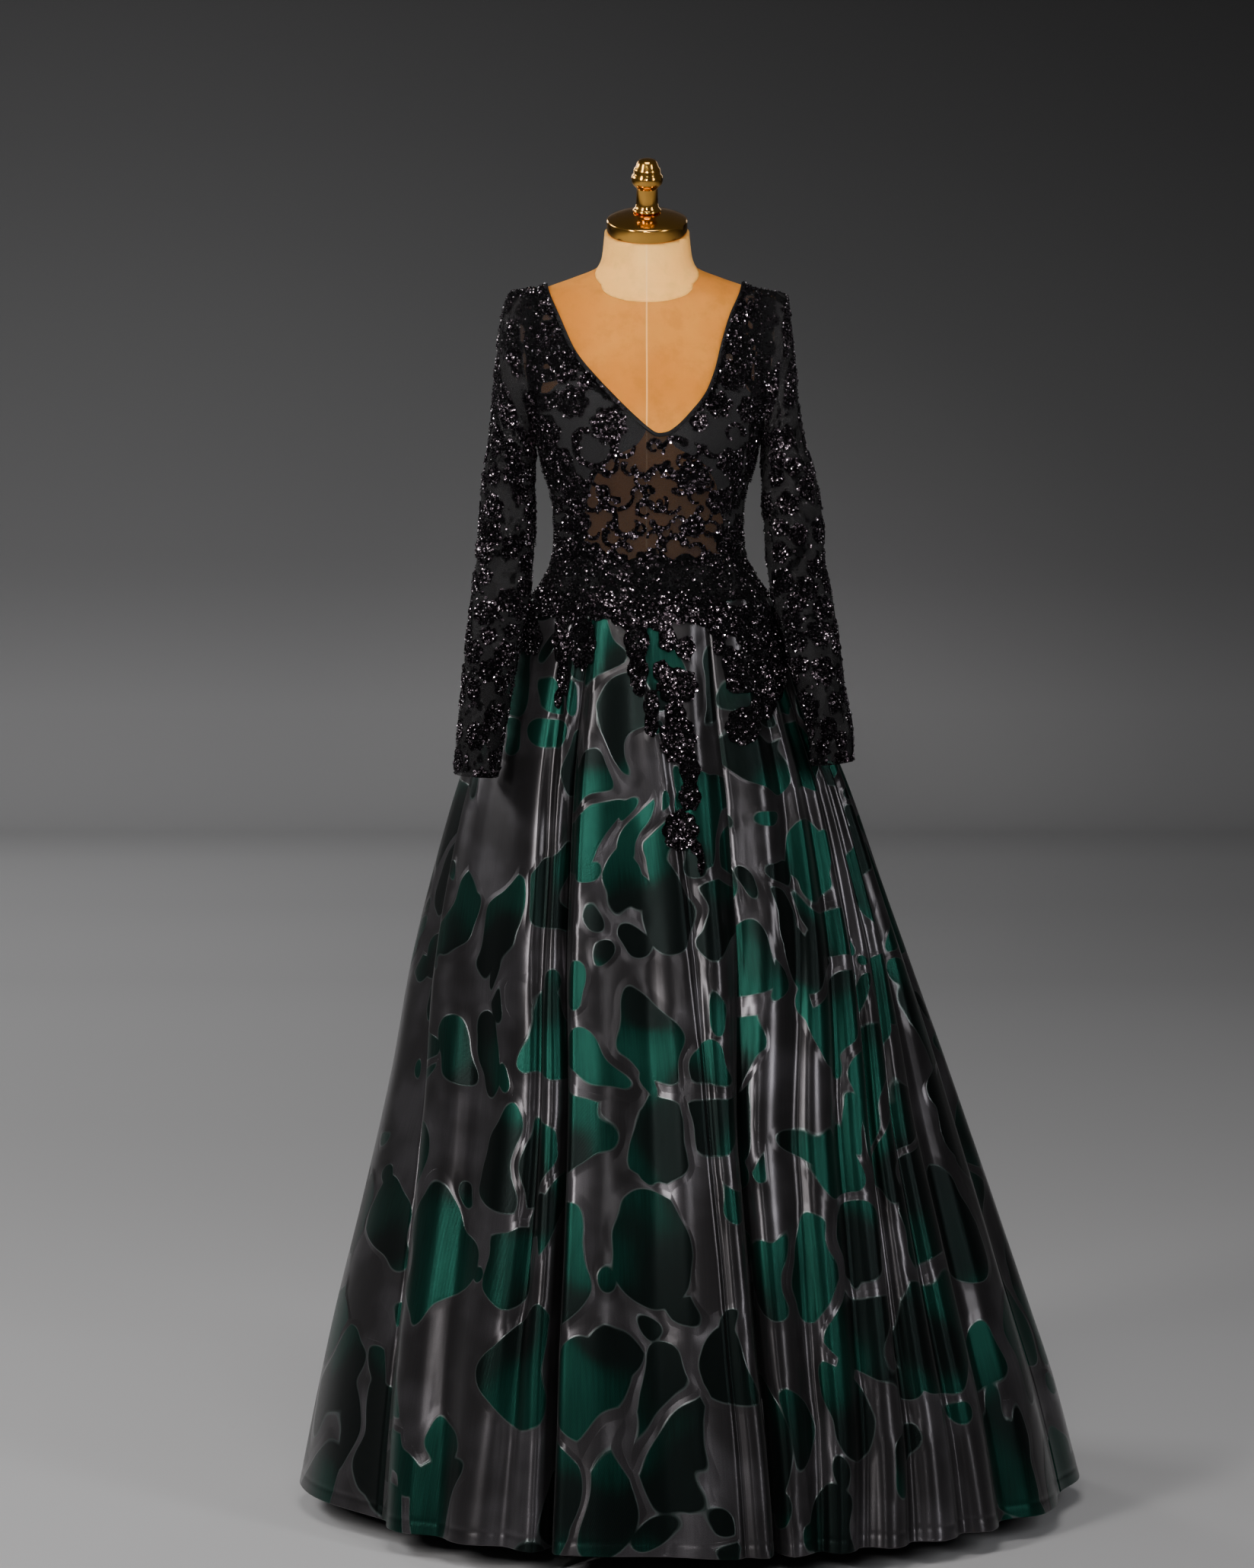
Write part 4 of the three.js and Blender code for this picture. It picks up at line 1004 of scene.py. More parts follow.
def skirt_material(green_thread, satin):
    """Charcoal satin with woven pebble shapes in metallic green thread, with painted sheen in patches of
    the ground and painted light and shade on the pebbles.
    """
    g = Graph("skirt_jacquard")
    cloth = g.add("ShaderNodeUVMap", uv_map="cloth")
    sway = g.add("ShaderNodeTexNoise", {"Vector": cloth, "Scale": 5.6, "Detail": 1.4}, output=1)
    centred = g.add("ShaderNodeVectorMath", {0: sway, 1: (0.5, 0.5, 0.5)}, operation="SUBTRACT")
    moved = g.add(
        "ShaderNodeVectorMath", {0: centred, 1: (0.2, 0.2, 0.0), 2: cloth},
        operation="MULTIPLY_ADD")
    tall = g.add("ShaderNodeVectorMath", {0: moved, 1: (1.12, 0.84, 1.0)}, operation="MULTIPLY")
    large = pebbles(g, tall, 7.5, 0.36, 0.6, 0.12)
    small = pebbles(g, tall, 13.5, 0.2, 0.46, 0.5)
    field = g.math("SMOOTH_MAX", large, small, 0.009)
    # Noise that places the painted light and shade on the pebbles
    shade = g.noise(cloth, 5.2, 1.0)
    blob = g.step(field, 0.0, 0.0008)
    rim = g.math("SUBTRACT", g.step(field, -0.0016, -0.0004), g.step(field, 0.0002, 0.0022))
    pucker = g.step(field, -0.016, 0.006)

    parts = g.add("ShaderNodeSeparateXYZ", {0: cloth}).node
    lean = g.math("MULTIPLY", parts.outputs[1], 0.25)
    slant = g.math("ADD", parts.outputs[0], lean)
    rib = g.math("SINE", g.math("MULTIPLY", slant, 2 * math.pi / 0.0016))
    fine = g.math("SINE", g.math("MULTIPLY", parts.outputs[1], 2 * math.pi / 0.0011))
    drawn = g.add("ShaderNodeVectorMath", {0: cloth, 1: (90.0, 4.0, 1.0)}, operation="MULTIPLY")
    streak = g.add("ShaderNodeTexNoise", {"Vector": drawn, "Scale": 4.0, "Detail": 3.0})
    # Painted sheen: cloudy patches where the satin ground is paler, in place of its highlights
    cloud = g.step(g.noise(cloth, 6.5, 2.5, 0.6), 0.42, 0.66)
    grain = g.noise(cloth, 900.0, 2.0, 0.7)

    # Painted highlight: the green thread goes from a darker copy to its lit colour where this noise and
    # the streaks are high
    painted_lit_share = g.math("ADD", g.math("MULTIPLY", shade, 1.3), g.math("MULTIPLY", streak, 0.35))
    green = g.mix(g.step(painted_lit_share, 0.55, 1.1), (0.002, 0.013, 0.01), green_thread)
    # Painted shade: where the noise is low the pebbles turn near-black
    dark = g.math("SUBTRACT", 1.0, g.step(shade, 0.42, 0.53))
    green = g.mix(g.math("MULTIPLY", dark, 0.85), green, (0.009, 0.011, 0.011))
    green = g.mix(g.math("MULTIPLY", g.step(rib, 0.0, 1.0), 0.35), green, (0.002, 0.012, 0.009))
    # Painted sheen: the ground turns to the pale satin colour in the cloudy patches
    ground = g.mix(cloud, (0.066, 0.061, 0.064), satin)
    ground = g.mix(g.math("MULTIPLY", streak, 0.4), ground, (0.022, 0.021, 0.022))
    ground = g.mix(g.math("MULTIPLY", g.step(grain, 0.42, 0.68), 0.4), ground, (0.03, 0.028, 0.029))
    tone = g.mix(blob, ground, green)
    tone = g.mix(g.math("MULTIPLY", rim, 0.4), tone, (0.13, 0.17, 0.16))
    g.set(Base_Color=tone, Metallic=g.math("ADD", 0.8, g.math("MULTIPLY", blob, 0.08)))
    g.set(Roughness=g.math("ADD", 0.275, g.math("MULTIPLY", blob, 0.02)))
    g.set(Anisotropic=0.55, Anisotropic_Rotation=0.25)
    tangent = g.add("ShaderNodeTangent", direction_type="UV_MAP", uv_map="cloth")
    g.link(tangent, g.shader.inputs["Tangent"])
    g.set(Sheen_Weight=0.08, Sheen_Roughness=0.4)

    ribbed = g.math("MULTIPLY", rib, g.math("MULTIPLY", blob, 0.35))
    height = g.math("ADD", ribbed, g.math("MULTIPLY", fine, 0.12))
    height = g.math("ADD", height, g.math("MULTIPLY", g.math("ADD", blob, rim), 1.2))
    height = g.math("ADD", height, g.math("MULTIPLY", pucker, 9.0))
    g.bump(height, 0.35, 0.0003)
    return g.material


def lathe(profile, steps):
    """Points and polygons of a turned solid, closed on its axis at both ends."""
    rings = [(r, h) for r, h in profile if r > 0]
    turn = np.linspace(0, 2 * math.pi, steps, endpoint=False)
    points = [np.stack([r * np.cos(turn), r * np.sin(turn), h + 0 * turn], axis=1) for r, h in rings]
    points = np.concatenate(points + [[(0, 0, profile[0][1])], [(0, 0, profile[-1][1])]])
    polygons = grid_faces(len(rings), steps, True).tolist()
    low = len(points) - 2
    top = (len(rings) - 1) * steps
    for k in range(steps):
        polygons.append([low, (k + 1) % steps, k])
        polygons.append([low + 1, top + k, top + (k + 1) % steps])
    return points, polygons


def in_cap_space(points, height):
    """Points of a turned piece moved onto the leaning axis of the cap."""
    cos = math.cos(CAP_LEAN)
    sin = math.sin(CAP_LEAN)
    x, y, z = points.T
    z = z + height
    moved = np.stack([x, y * cos - z * sin, y * sin + z * cos], axis=1)
    return moved + np.array(CAP_SEAT)


def build_form(settings):
    """The padded torso and neck, the cap, the finial and the finish of the stand."""
    angles = np.linspace(0, 2 * math.pi, FORM_STEPS, endpoint=False)
    levels = even_levels(FORM_LOW_Z, FORM_TOP_Z, FORM_PITCH)
    grid = body_grid(angles, levels)
    normal = normals_of(grid, True)
    soft = lattice_noise(angles[None, :] * 12, levels[:, None] / 38, 21) - 0.5
    seam = np.exp(-((grid[..., 0] - CENTRE_X) / 1.1) ** 2) * 0.35
    seam_z = smooth_curve(*zip(*NECK_SEAM))(grid[..., 1])
    below = (seam_z - SEAM_GAP / 2 - grid[..., 2]).ravel()
    grid = grid - normal * (0.25 - soft[..., None] * 0.4 + seam[..., None])
    cap_z = CAP_SEAT[2] + (grid[..., 1] - CAP_SEAT[1]) * math.tan(CAP_LEAN) - SEAM_GAP
    away = grid[..., 2] - seam_z
    grid = grid - normal * (np.exp(-(away / 1.6) ** 2) * 0.7)[..., None]
    faces = grid_faces(len(levels), FORM_STEPS, True)
    flat = grid.reshape(-1, 3)
    above = np.minimum(-below - SEAM_GAP, (cap_z - grid[..., 2]).ravel())
    velvet = velvet_material("velvet", settings.velvet, (0.655, 0.257, 0.04))
    pale = velvet_material("velvet_pale", settings.neck_velvet, (1.0, 0.56, 0.15))
    for name, slot, room, material in (
        ("torso", "form_velvet", below, velvet), ("neck", "form_velvet_pale", above, pale),
    ):
        points, polygons = clip_faces(flat, faces, room)
        obj = close_ends(name, points, polygons, material)
        place(obj, slot, "form_" + name)
    gold = gold_material(settings.gold)
    for name, node, profile, height in (
        ("cap", "neck_cap", CAP_PROFILE, 0.0), ("knob", "finial", FINIAL_PROFILE, FINIAL_HEIGHT),
    ):
        points, polygons = lathe(profile, TURNED_STEPS)
        obj = add_mesh(name, in_cap_space(points, height), polygons, gold)
        place(obj, "gold", node)
    metal = metal_material()
    for node in ("stand_base", "stand_pole"):
        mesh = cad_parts[node].data
        mesh.materials.clear()
        mesh.materials.append(metal)


def close_ends(name, points, polygons, material):
    """A mesh whose open ends are closed with a fan to the middle of each."""
    following = {}
    seen = set()
    for polygon in polygons:
        for a, b in zip(polygon, polygon[1:] + polygon[:1]):
            seen.add((a, b))
    for a, b in seen:
        if (b, a) not in seen:
            following[b] = a
    points = list(points)
    polygons = list(polygons)
    while following:
        start = next(iter(following))
        loop = [start]
        at = following.pop(start)
        while at != start and at in following:
            loop.append(at)
            at = following.pop(at)
        middle = len(points)
        points.append(np.mean([points[i] for i in loop], axis=0))
        for a, b in zip(loop, loop[1:] + loop[:1]):
            polygons.append([a, b, middle])
    return add_mesh(name, np.array(points), polygons, material)


def body_layer(out, wall, pitch):
    """The outer and inner grid of a cloth layer over the form, with its normals."""
    steps = int(round(CHEST_ROUND / pitch / 4)) * 4
    angles = np.linspace(0, 2 * math.pi, steps, endpoint=False)
    levels = even_levels(WAIST_Z, STRAP_TOP_Z, pitch)
    grid = body_grid(angles, levels)
    normal = normals_of(grid, True)
    return grid + normal * out, grid + normal * (out - wall), normal


def cut_sheet(name, outer, inner, room, wrapped, material, extra=None):
    """A thin shell of cloth, cut where room is 0, with extra values at its points."""
    rows, columns = outer.shape[:2]
    faces = grid_faces(rows, columns, wrapped)
    data = [outer.reshape(-1, 3), inner.reshape(-1, 3)]
    if extra is not None:
        data.append(extra.reshape(rows * columns, -1))
    data, polygons = clip_faces(np.concatenate(data, axis=1), faces, room.ravel())
    points, polygons = shell_of(data[:, :3], data[:, 3:6], polygons)
    obj = add_mesh(name, points, polygons, material)
    if extra is not None:
        set_value(obj, "lace", np.tile(data[:, 6], 2))
    return obj


def build_lining(settings):
    """The lining of cups and sides, in two halves."""
    outer, inner, _ = body_layer(LINING_OUT, LINING_WALL, CLOTH_PITCH)
    room = lining_room(outer)
    x = outer[..., 0]
    front = outer[..., 1] < 0
    left = np.where(front, V_POINT_X - x, -SEAM_GAP / 2 - x)
    material = lining_material(settings.lining)
    for name, side in SIDES:
        part = np.minimum(room, -side * left)
        obj = cut_sheet("cups_" + name, outer, inner, part, True, material)
        place_sheet(obj, "lining", "lining_" + name)


def front_and_backs(points):
    """The front and the two halves of the back: how far inside each a point lies."""
    x = points[..., 0]
    y = points[..., 1]
    return {
        "front": -SEAM_GAP / 2 - y,
        "back_left": np.minimum(y, -x) - SEAM_GAP / 2,
        "back_right": np.minimum(y, x) - SEAM_GAP / 2,
    }


def build_bodice(settings):
    """The net bodice: a front and two halves of the back."""
    outer, inner, _ = body_layer(NET_OUT, NET_WALL, CLOTH_PITCH)
    room = bodice_room(outer)
    lace = bodice_lace(outer)
    material = net_material(settings.net, settings.net_cover)
    for name, side in front_and_backs(outer).items():
        obj = cut_sheet("net_" + name, outer, inner, np.minimum(room, side), True, material, lace)
        place_sheet(obj, "net", "bodice_" + name)


def build_binding(settings):
    """The satin binding along the neckline, over the net."""
    outer, inner, _ = body_layer(BINDING_OUT, BINDING_WALL, BINDING_PITCH)
    room = np.minimum(bodice_room(outer), BINDING_WIDTH - neck_room(outer))
    material = binding_material(settings.binding)
    for name, side in front_and_backs(outer).items():
        obj = cut_sheet("edge_" + name, outer, inner, np.minimum(room, side), True, material)
        place_sheet(obj, "binding_satin", "binding_" + name)


def armhole_ring(x, angles):
    """The armhole's edge on the net."""
    aim = np.stack(
        [ARMHOLE_MIDDLE["deep"] * np.sin(angles), ARMHOLE_MIDDLE["tall"] * np.cos(angles)], axis=1)
    aim /= np.linalg.norm(aim, axis=1, keepdims=True)

    def level(px, py, pz):
        depth = np.where(py < 0, BODY_CURVES["front"](pz), BODY_CURVES["back"](pz))
        power = BODY_CURVES["round"](pz)
        across = (np.abs(px - BODY_CURVES["centre"](pz)) / BODY_CURVES["half"](pz)) ** power
        return (across + (np.abs(py) / depth) ** power) ** (1 / power) - 1

    near = np.full(len(angles), ARMHOLE_REACH[0])
    far = np.full(len(angles), ARMHOLE_REACH[1])
    for _ in range(30):
        reach = (near + far) / 2
        y = ARMHOLE_MIDDLE["y"] + aim[:, 0] * reach
        z = ARMHOLE_MIDDLE["z"] + aim[:, 1] * reach
        steep = np.sqrt(
            (level(x + 0.5, y, z) - level(x - 0.5, y, z)) ** 2
            + (level(x, y + 0.5, z) - level(x, y - 0.5, z)) ** 2
            + (level(x, y, z + 0.5) - level(x, y, z - 0.5)) ** 2)
        inside = level(x, y, z) / steep < NET_OUT + ARMHOLE_EASE
        near = np.where(inside, reach, near)
        far = np.where(inside, far, reach)
    y = ARMHOLE_MIDDLE["y"] + aim[:, 0] * near
    z = ARMHOLE_MIDDLE["z"] + aim[:, 1] * near
    return np.stack([np.full(len(angles), x), y, z], axis=1)


def sleeve_grid(rows, side, steps, pitch):
    """The sleeve's surface from the cuff up to the armhole."""
    angles = np.linspace(0, 2 * math.pi, steps, endpoint=False)
    rings = [armhole_ring(CENTRE_X + side * (ARMHOLE_X - 1.0), angles)]
    for outer_x, outer_z, inner_x, inner_z, y, depth in rows:
        outer = np.array([outer_x, y, outer_z], float)
        inner = np.array([inner_x, y, inner_z], float)
        middle = (outer + inner) / 2
        ring = middle + (outer - middle) * np.cos(angles)[:, None]
        ring[:, 1] += depth * np.sin(angles)
        rings.append(ring)
    rings = np.stack(rings)
    middle = rings.mean(axis=1)
    length = np.concatenate([[0], np.cumsum(np.linalg.norm(np.diff(middle, axis=0), axis=1))])
    count = int(length[-1] / pitch)
    where = np.linspace(0, length[-1], count + 1)
    flat = rings.reshape(len(rings), -1)
    grid = np.stack([smooth_curve(length, flat[:, k])(where) for k in range(flat.shape[1])], axis=1)
    grid = grid.reshape(count + 1, steps, 3)[::-1]
    if side < 0:
        grid = grid[:, ::-1]
    return grid, where[::-1], angles if side > 0 else angles[::-1]


def sleeve_creases(where, angles, side):
    """Soft folds of the empty sleeve, as how far each point sinks."""
    phase = angles[None, :]
    down = where[:, None]
    sink = 0 * (phase + down)
    for at, deep, wide, turn, lean in SLEEVE_FOLDS:
        centre = at + lean * 26 * np.sin(phase - turn)
        around = np.exp(-(np.angle(np.exp(1j * (phase - turn))) / 0.95) ** 2)
        sink = sink + deep * around * np.exp(-((down - centre) / wide) ** 2)
    ease = smoothstep(down, 20, 90)
    long = 1.6 * np.sin(phase * 3 + down / 120 + side) * smoothstep(down, 380, 520)
    return (sink + long) * ease


def sleeve_lace(where, angles, side):
    """How much lace covers the sleeve, denser along its inner side and thin in a few places."""
    around = angles[None, :] * SLEEVE_ROUND
    down = where[:, None]
    cover = patches(around + 0 * down, down + 0 * around, 11, 0.3, 31 + int(side))
    cover = np.maximum(cover, smoothstep(9 + 9 * lattice_noise(around / 7, down / 40, 9) - down, 0, 4))
    cover = np.maximum(cover, flowers_at(around + 0 * down, down + 0 * around, sleeve_flowers(side)))
    return np.clip(cover, 0, 1)


def sleeve_flowers(side):
    """Flowers over the sleeve: place round it, place down it, radius, petals."""
    rng = np.random.default_rng(40 + int(side))
    found = []
    for _ in range(900):
        spot = (rng.uniform(0, 2 * math.pi * SLEEVE_ROUND), rng.uniform(12, 648), rng.uniform(12, 22))
        if all(math.hypot(spot[0] - f[0], spot[1] - f[1]) > (spot[2] + f[2]) * 0.86 for f in found):
            found.append((*spot, 5 + len(found) % 4))
    return found


def sleeve_parts(side):
    """A sleeve's surface with its folds, its normals, places down it and angles round it."""
    rows = SLEEVE_LEFT if side < 0 else SLEEVE_RIGHT
    grid, where, angles = sleeve_grid(rows, side, SLEEVE_STEPS, SLEEVE_PITCH)
    sink = sleeve_creases(where, angles, side)
    grid = grid - normals_of(grid, True) * sink[..., None]
    return grid, normals_of(grid, True), where, angles


def build_sleeves(settings):
    """The two long net sleeves."""
    material = net_material(settings.net, settings.net_cover)
    for name, side in SIDES:
        grid, normal, where, angles = sleeve_parts(side)
        lace = sleeve_lace(where, angles, side)
        room = np.ones(grid.shape[:2])
        obj = cut_sheet("arm_" + name, grid, grid - normal * NET_WALL, room, True, material, lace)
        place_sheet(obj, "net", "sleeve_" + name)


def skirt_places(pitch):
    """Places round the skirt where its grid has a column, from the first gore's seam round."""
    places = [GORES[0][1] + 0.5]
    for half in range(2 * GORES[0][1] + 1, 2 * GORES[-1][2] + 1):
        ends = skirt_grid([half / 2, (half + 1) / 2 - 1e-6], [HEM_Z])[0]
        count = int(np.clip(round(np.linalg.norm(ends[1] - ends[0]) / pitch), 5, 14))
        places.extend(half / 2 + k / (2 * count) for k in range(1, count + 1))
    return np.array(places)


def skirt_surface(places, levels):
    """The skirt's surface with its small creases and the pressed line at the knee."""
    grid = skirt_grid(places, levels)
    normal = normals_of(grid, False)
    z = np.asarray(levels)[:, None]
    place = np.asarray(places)[None, :]
    along = place - np.floor(place)
    start = smoothstep(1150 - z, 0, 300)
    ripple = (lattice_noise(place * 1.9, z / 300, 3) - 0.5) * 7.0
    ripple = ripple + (lattice_noise(place * 4.1 + 5, z / 210, 4) - 0.5) * 1.6
    crest = np.exp(-(np.minimum(along, 1 - along) / 0.06) ** 2) * 0.5
    flare = smoothstep(420 - z, 0, 400) * np.sin(place * 5.0) * 2.2
    push = (ripple + flare) * start * np.sin(np.pi * along) ** 2 + crest * start
    bulge = np.sin(2 * np.pi * np.minimum(along, 1 - along)) ** 2
    flatter = smoothstep(850 - z, 0, 260) * PLEAT_FLAT * bulge
    pressed = np.exp(-((z - KNEE_PRESS_Z - 3 * np.sin(place * 4)) / 2.2) ** 2) * 0.9
    pressed = pressed * (np.abs(place - 4.6) < 0.9)
    stitched = np.exp(-((z - HEM_STITCH_Z) / 1.6) ** 2) * 0.5
    return grid + normal * (np.minimum(push, 0.8) + flatter - pressed - stitched)[..., None]


def skirt_levels():
    """Heights of the skirt's rows, closer together at the hem."""
    low = [HEM_Z, 31.2, 34, 39, 43.5, 46, 48.5, 53]
    return np.array(low + list(np.linspace(62, SKIRT_TOP_Z, 118)))


def build_skirt(settings):
    """The seven panels of the skirt, with the cloth's pattern running down each."""
    levels = skirt_levels()
    places = skirt_places(SKIRT_PITCH)
    grid = skirt_surface(places, levels)
    normal = normals_of(grid, False)
    inner = grid - normal * SKIRT_WALL
    steps = np.linalg.norm(np.diff(grid, axis=1), axis=-1)
    length = np.concatenate([np.zeros((len(levels), 1)), np.cumsum(steps, axis=1)], axis=1)
    fine = np.interp(levels, [HEM_Z, FOLD_START_Z], [1.0, 1.55])
    climb = np.concatenate([[0], np.cumsum(np.diff(levels) * (fine[1:] + fine[:-1]) / 2)])
    material = skirt_material(settings.skirt_green, settings.skirt_satin_sheen)
    for name, first, last, flat in GORES:
        mine = np.where((places >= first + 0.5 - 1e-9) & (places <= last + 0.5 + 1e-9))[0]
        outer = grid[:, mine].copy()
        under = inner[:, mine].copy()
        for layer in (outer, under):
            layer[:, 0] += unit(layer[:, 1] - layer[:, 0]) * SEAM_GAP / 2
            layer[:, -1] += unit(layer[:, -2] - layer[:, -1]) * SEAM_GAP / 2
        rows, columns = outer.shape[:2]
        faces = grid_faces(rows, columns, False)
        points, polygons = shell_of(outer.reshape(-1, 3), under.reshape(-1, 3), faces.tolist())
        obj = add_mesh("panel_" + name, points, polygons, material)
        sides = panel_coordinates(length[:, mine], fine, first)
        write_panel_uv(obj, sides, climb, rows, columns)
        place_sheet(obj, "skirt_jacquard", "skirt_" + name)


def panel_coordinates(length, fine, number):
    """Cloth coordinates across a panel, measured from its middle column at each height."""
    middle = length.shape[1] // 2
    across = (length - length[:, middle:middle + 1]) * fine[:, None] + number * 1370.0
    return across[:, :-1], across[:, 1:]


def write_panel_uv(obj, sides, climb, rows, columns):
    """Sets the corners of both layers' quads. The rim takes the nearest corners."""
    left, right = sides
    quads = (rows - 1) * (columns - 1)
    i, j = np.meshgrid(np.arange(rows - 1), np.arange(columns - 1), indexing="ij")
    corners = np.empty((quads, 4, 2))
    for k, (side, up) in enumerate(((left, 0), (right, 0), (right, 1), (left, 1))):
        corners[:, k, 0] = side[i + up, j].ravel()
        corners[:, k, 1] = climb[i + up].ravel()
    layer = obj.data.uv_layers.new(name="cloth")
    total = len(obj.data.loops)
    uv = np.zeros((total, 2))
    uv[:quads * 4] = corners.reshape(-1, 2)
    uv[quads * 4:quads * 8] = corners[:, ::-1].reshape(-1, 2)
    index = np.empty(total, np.int32)
    obj.data.loops.foreach_get("vertex_index", index)
    spread = np.zeros((rows * columns, 2))
    spread[index[:quads * 4]] = uv[:quads * 4]
    uv[quads * 8:] = spread[index[quads * 8:] % (rows * columns)]
    layer.data.foreach_set("uv", (uv * MM).astype(np.float32).ravel())


def lace_surface(pitch):
    """The skirt's surface under the hip lace, which goes on over the waist seam."""
    levels = np.arange(LACE_LOW_Z, LACE_TOP_Z + 0.1, pitch)
    places = skirt_places(LACE_COLUMN_PITCH)
    grid = skirt_grid(places, levels)
    top = grid[-1]
    z = top[:, 2]
    power = SKIRT_CURVES["round"](z) / 2
    reach = np.where(top[:, 1] < 0, SKIRT_CURVES["front"](z), SKIRT_CURVES["back"](z))
    across = (top[:, 0] - SKIRT_CURVES["centre"](z)) / SKIRT_CURVES["half"](z)
    deep = top[:, 1] / reach
    round_y = np.sign(deep) * np.abs(deep) ** power
    round_x = np.sign(across) * np.abs(across) ** power
    angles = np.arctan2(round_y, round_x)
    above = []
    for height in LACE_OVER_WAIST:
        row = body_grid(angles, [height])[0]
        away = unit(np.stack([row[:, 0] - CENTRE_X, row[:, 1], 0 * angles], axis=1))
        above.append(row + away * (NET_OUT - 0.4))
    grid = np.concatenate([grid, above])
    return grid, normals_of(grid, False)


def build_hip_lace(settings):
    """The lace over the hip, front and back."""
    grid, normal = lace_surface(LACE_PITCH)
    outer = grid + normal * LACE_OUT
    inner = grid + normal * (LACE_OUT - LACE_WALL)
    room = lace_room(outer)
    lace = 0.45 + 0.4 * patches(grid[..., 0] + grid[..., 1] * 0.6, grid[..., 2], 8, 0.6, 71)
    material = net_material(settings.net, settings.net_cover)
    y = outer[..., 1]
    for name, side, flat in (("front", -y, (0.46, 0.42)), ("back", y, (0.42, 0.28))):
        obj = cut_sheet("hip_" + name, outer, inner, np.minimum(room, side), False, material, lace)
        place_sheet(obj, "bead_lace", "lace_hip_" + name)


def scatter_rows(grid, normal, pitch, rng):
    """Points spread evenly over a grid's surface, with their normals and grid rows."""
    along = np.linalg.norm(np.diff(grid, axis=0), axis=-1).mean(axis=1)
    height = np.concatenate([[0], np.cumsum(along)])
    found = []
    for level in np.arange(pitch / 2, height[-1], pitch):
        row = float(np.interp(level, height, np.arange(len(height))))
        i = min(int(row), len(height) - 2)
        t = row - i
        line = grid[i] * (1 - t) + grid[i + 1] * t
        facing = normal[i] * (1 - t) + normal[i + 1] * t
        steps = np.linalg.norm(np.diff(line, axis=0), axis=1)
        length = np.concatenate([[0], np.cumsum(steps)])
        count = int(length[-1] / pitch)
        at = (np.arange(count) + rng.uniform(0.0, 1.0, count)) * pitch
        k = np.clip(np.searchsorted(length, at) - 1, 0, len(length) - 2)
        share = ((at - length[k]) / np.maximum(length[k + 1] - length[k], 1e-6))[:, None]
        point = line[k] * (1 - share) + line[k + 1] * share
        out = facing[k] * (1 - share) + facing[k + 1] * share
        found.append(np.concatenate(
            [point, out, np.full((count, 1), row), (k[:, None] + share)], axis=1))
    rows = np.concatenate(found)
    rows[:, 3:6] = unit(rows[:, 3:6])
    return rows


def closed_grid(grid):
    """The same grid with its first column once more at the end."""
    return np.concatenate([grid, grid[:, :1]], axis=1)


def grid_value(values, row, column):
    """A grid's values read between its points."""
    i = np.clip(row.astype(int), 0, values.shape[0] - 2)
    j = np.clip(column.astype(int), 0, values.shape[1] - 2)
    shape = (-1,) + (1,) * (values.ndim - 2)
    s = (row - i).reshape(shape)
    t = (column - j).reshape(shape)
    low = values[i, j] * (1 - t) + values[i, j + 1] * t
    high = values[i + 1, j] * (1 - t) + values[i + 1, j + 1] * t
    return low * (1 - s) + high * s


BEAD_POINTS = np.array([(1.2, 0, -0.3), (-0.6, 1.04, -0.3), (-0.6, -1.04, -0.3), (0, 0, 0.9)], float)
BEAD_FACES = np.array([(0, 1, 3), (1, 2, 3), (2, 0, 3), (2, 1, 0)])
SEQUIN_STEPS = 8


def sequin_shape():
    """A flat ring whose rim is turned up a little."""
    turn = np.linspace(0, 2 * math.pi, SEQUIN_STEPS, endpoint=False)
    rim = np.stack([np.cos(turn), np.sin(turn), 0.2 + 0 * turn], axis=1)
    hole = np.stack([0.38 * np.cos(turn), 0.38 * np.sin(turn), 0 * turn], axis=1)
    faces = []
    for k in range(SEQUIN_STEPS):
        n = (k + 1) % SEQUIN_STEPS
        faces += [(k, n, SEQUIN_STEPS + n), (k, SEQUIN_STEPS + n, SEQUIN_STEPS + k)]
    return np.concatenate([rim, hole]), np.array(faces)


def add_many(name, spots, shape, sizes, lift, tilt, material, rng):
    """One mesh of many small pieces, each turned at random about the cloth's normal."""
    points, faces = shape
    count = len(spots)
    normal = unit(spots[:, 3:6] + rng.normal(0, tilt, (count, 3)))
    side = unit(np.cross(normal, unit(rng.normal(0, 1, (count, 3)))))
    other = np.cross(normal, side)
    turned = (
        points[None, :, :1] * side[:, None] + points[None, :, 1:2] * other[:, None]
        + points[None, :, 2:] * normal[:, None])
    placed = spots[:, None, :3] + spots[:, None, 3:6] * lift + turned * sizes[:, None, None]
    index = faces[None] + (np.arange(count) * len(points))[:, None, None]
    obj = add_mesh(name, placed.reshape(-1, 3), index.reshape(-1, 3), material, smooth=False)
    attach(obj, BODY)
    return obj


def shine_at(spots):
    """The share of sequins among the beads, which is higher in places of the front."""
    x = spots[:, 0]
    z = spots[:, 2]
    share = np.full(np.shape(x), 0.04)
    for cx, cz, reach in SHINE:
        share = np.maximum(share, 0.3 * np.exp(-((x - cx) ** 2 + (z - cz) ** 2) / reach ** 2))
    return share * (spots[:, 1] < 0) + 0.03


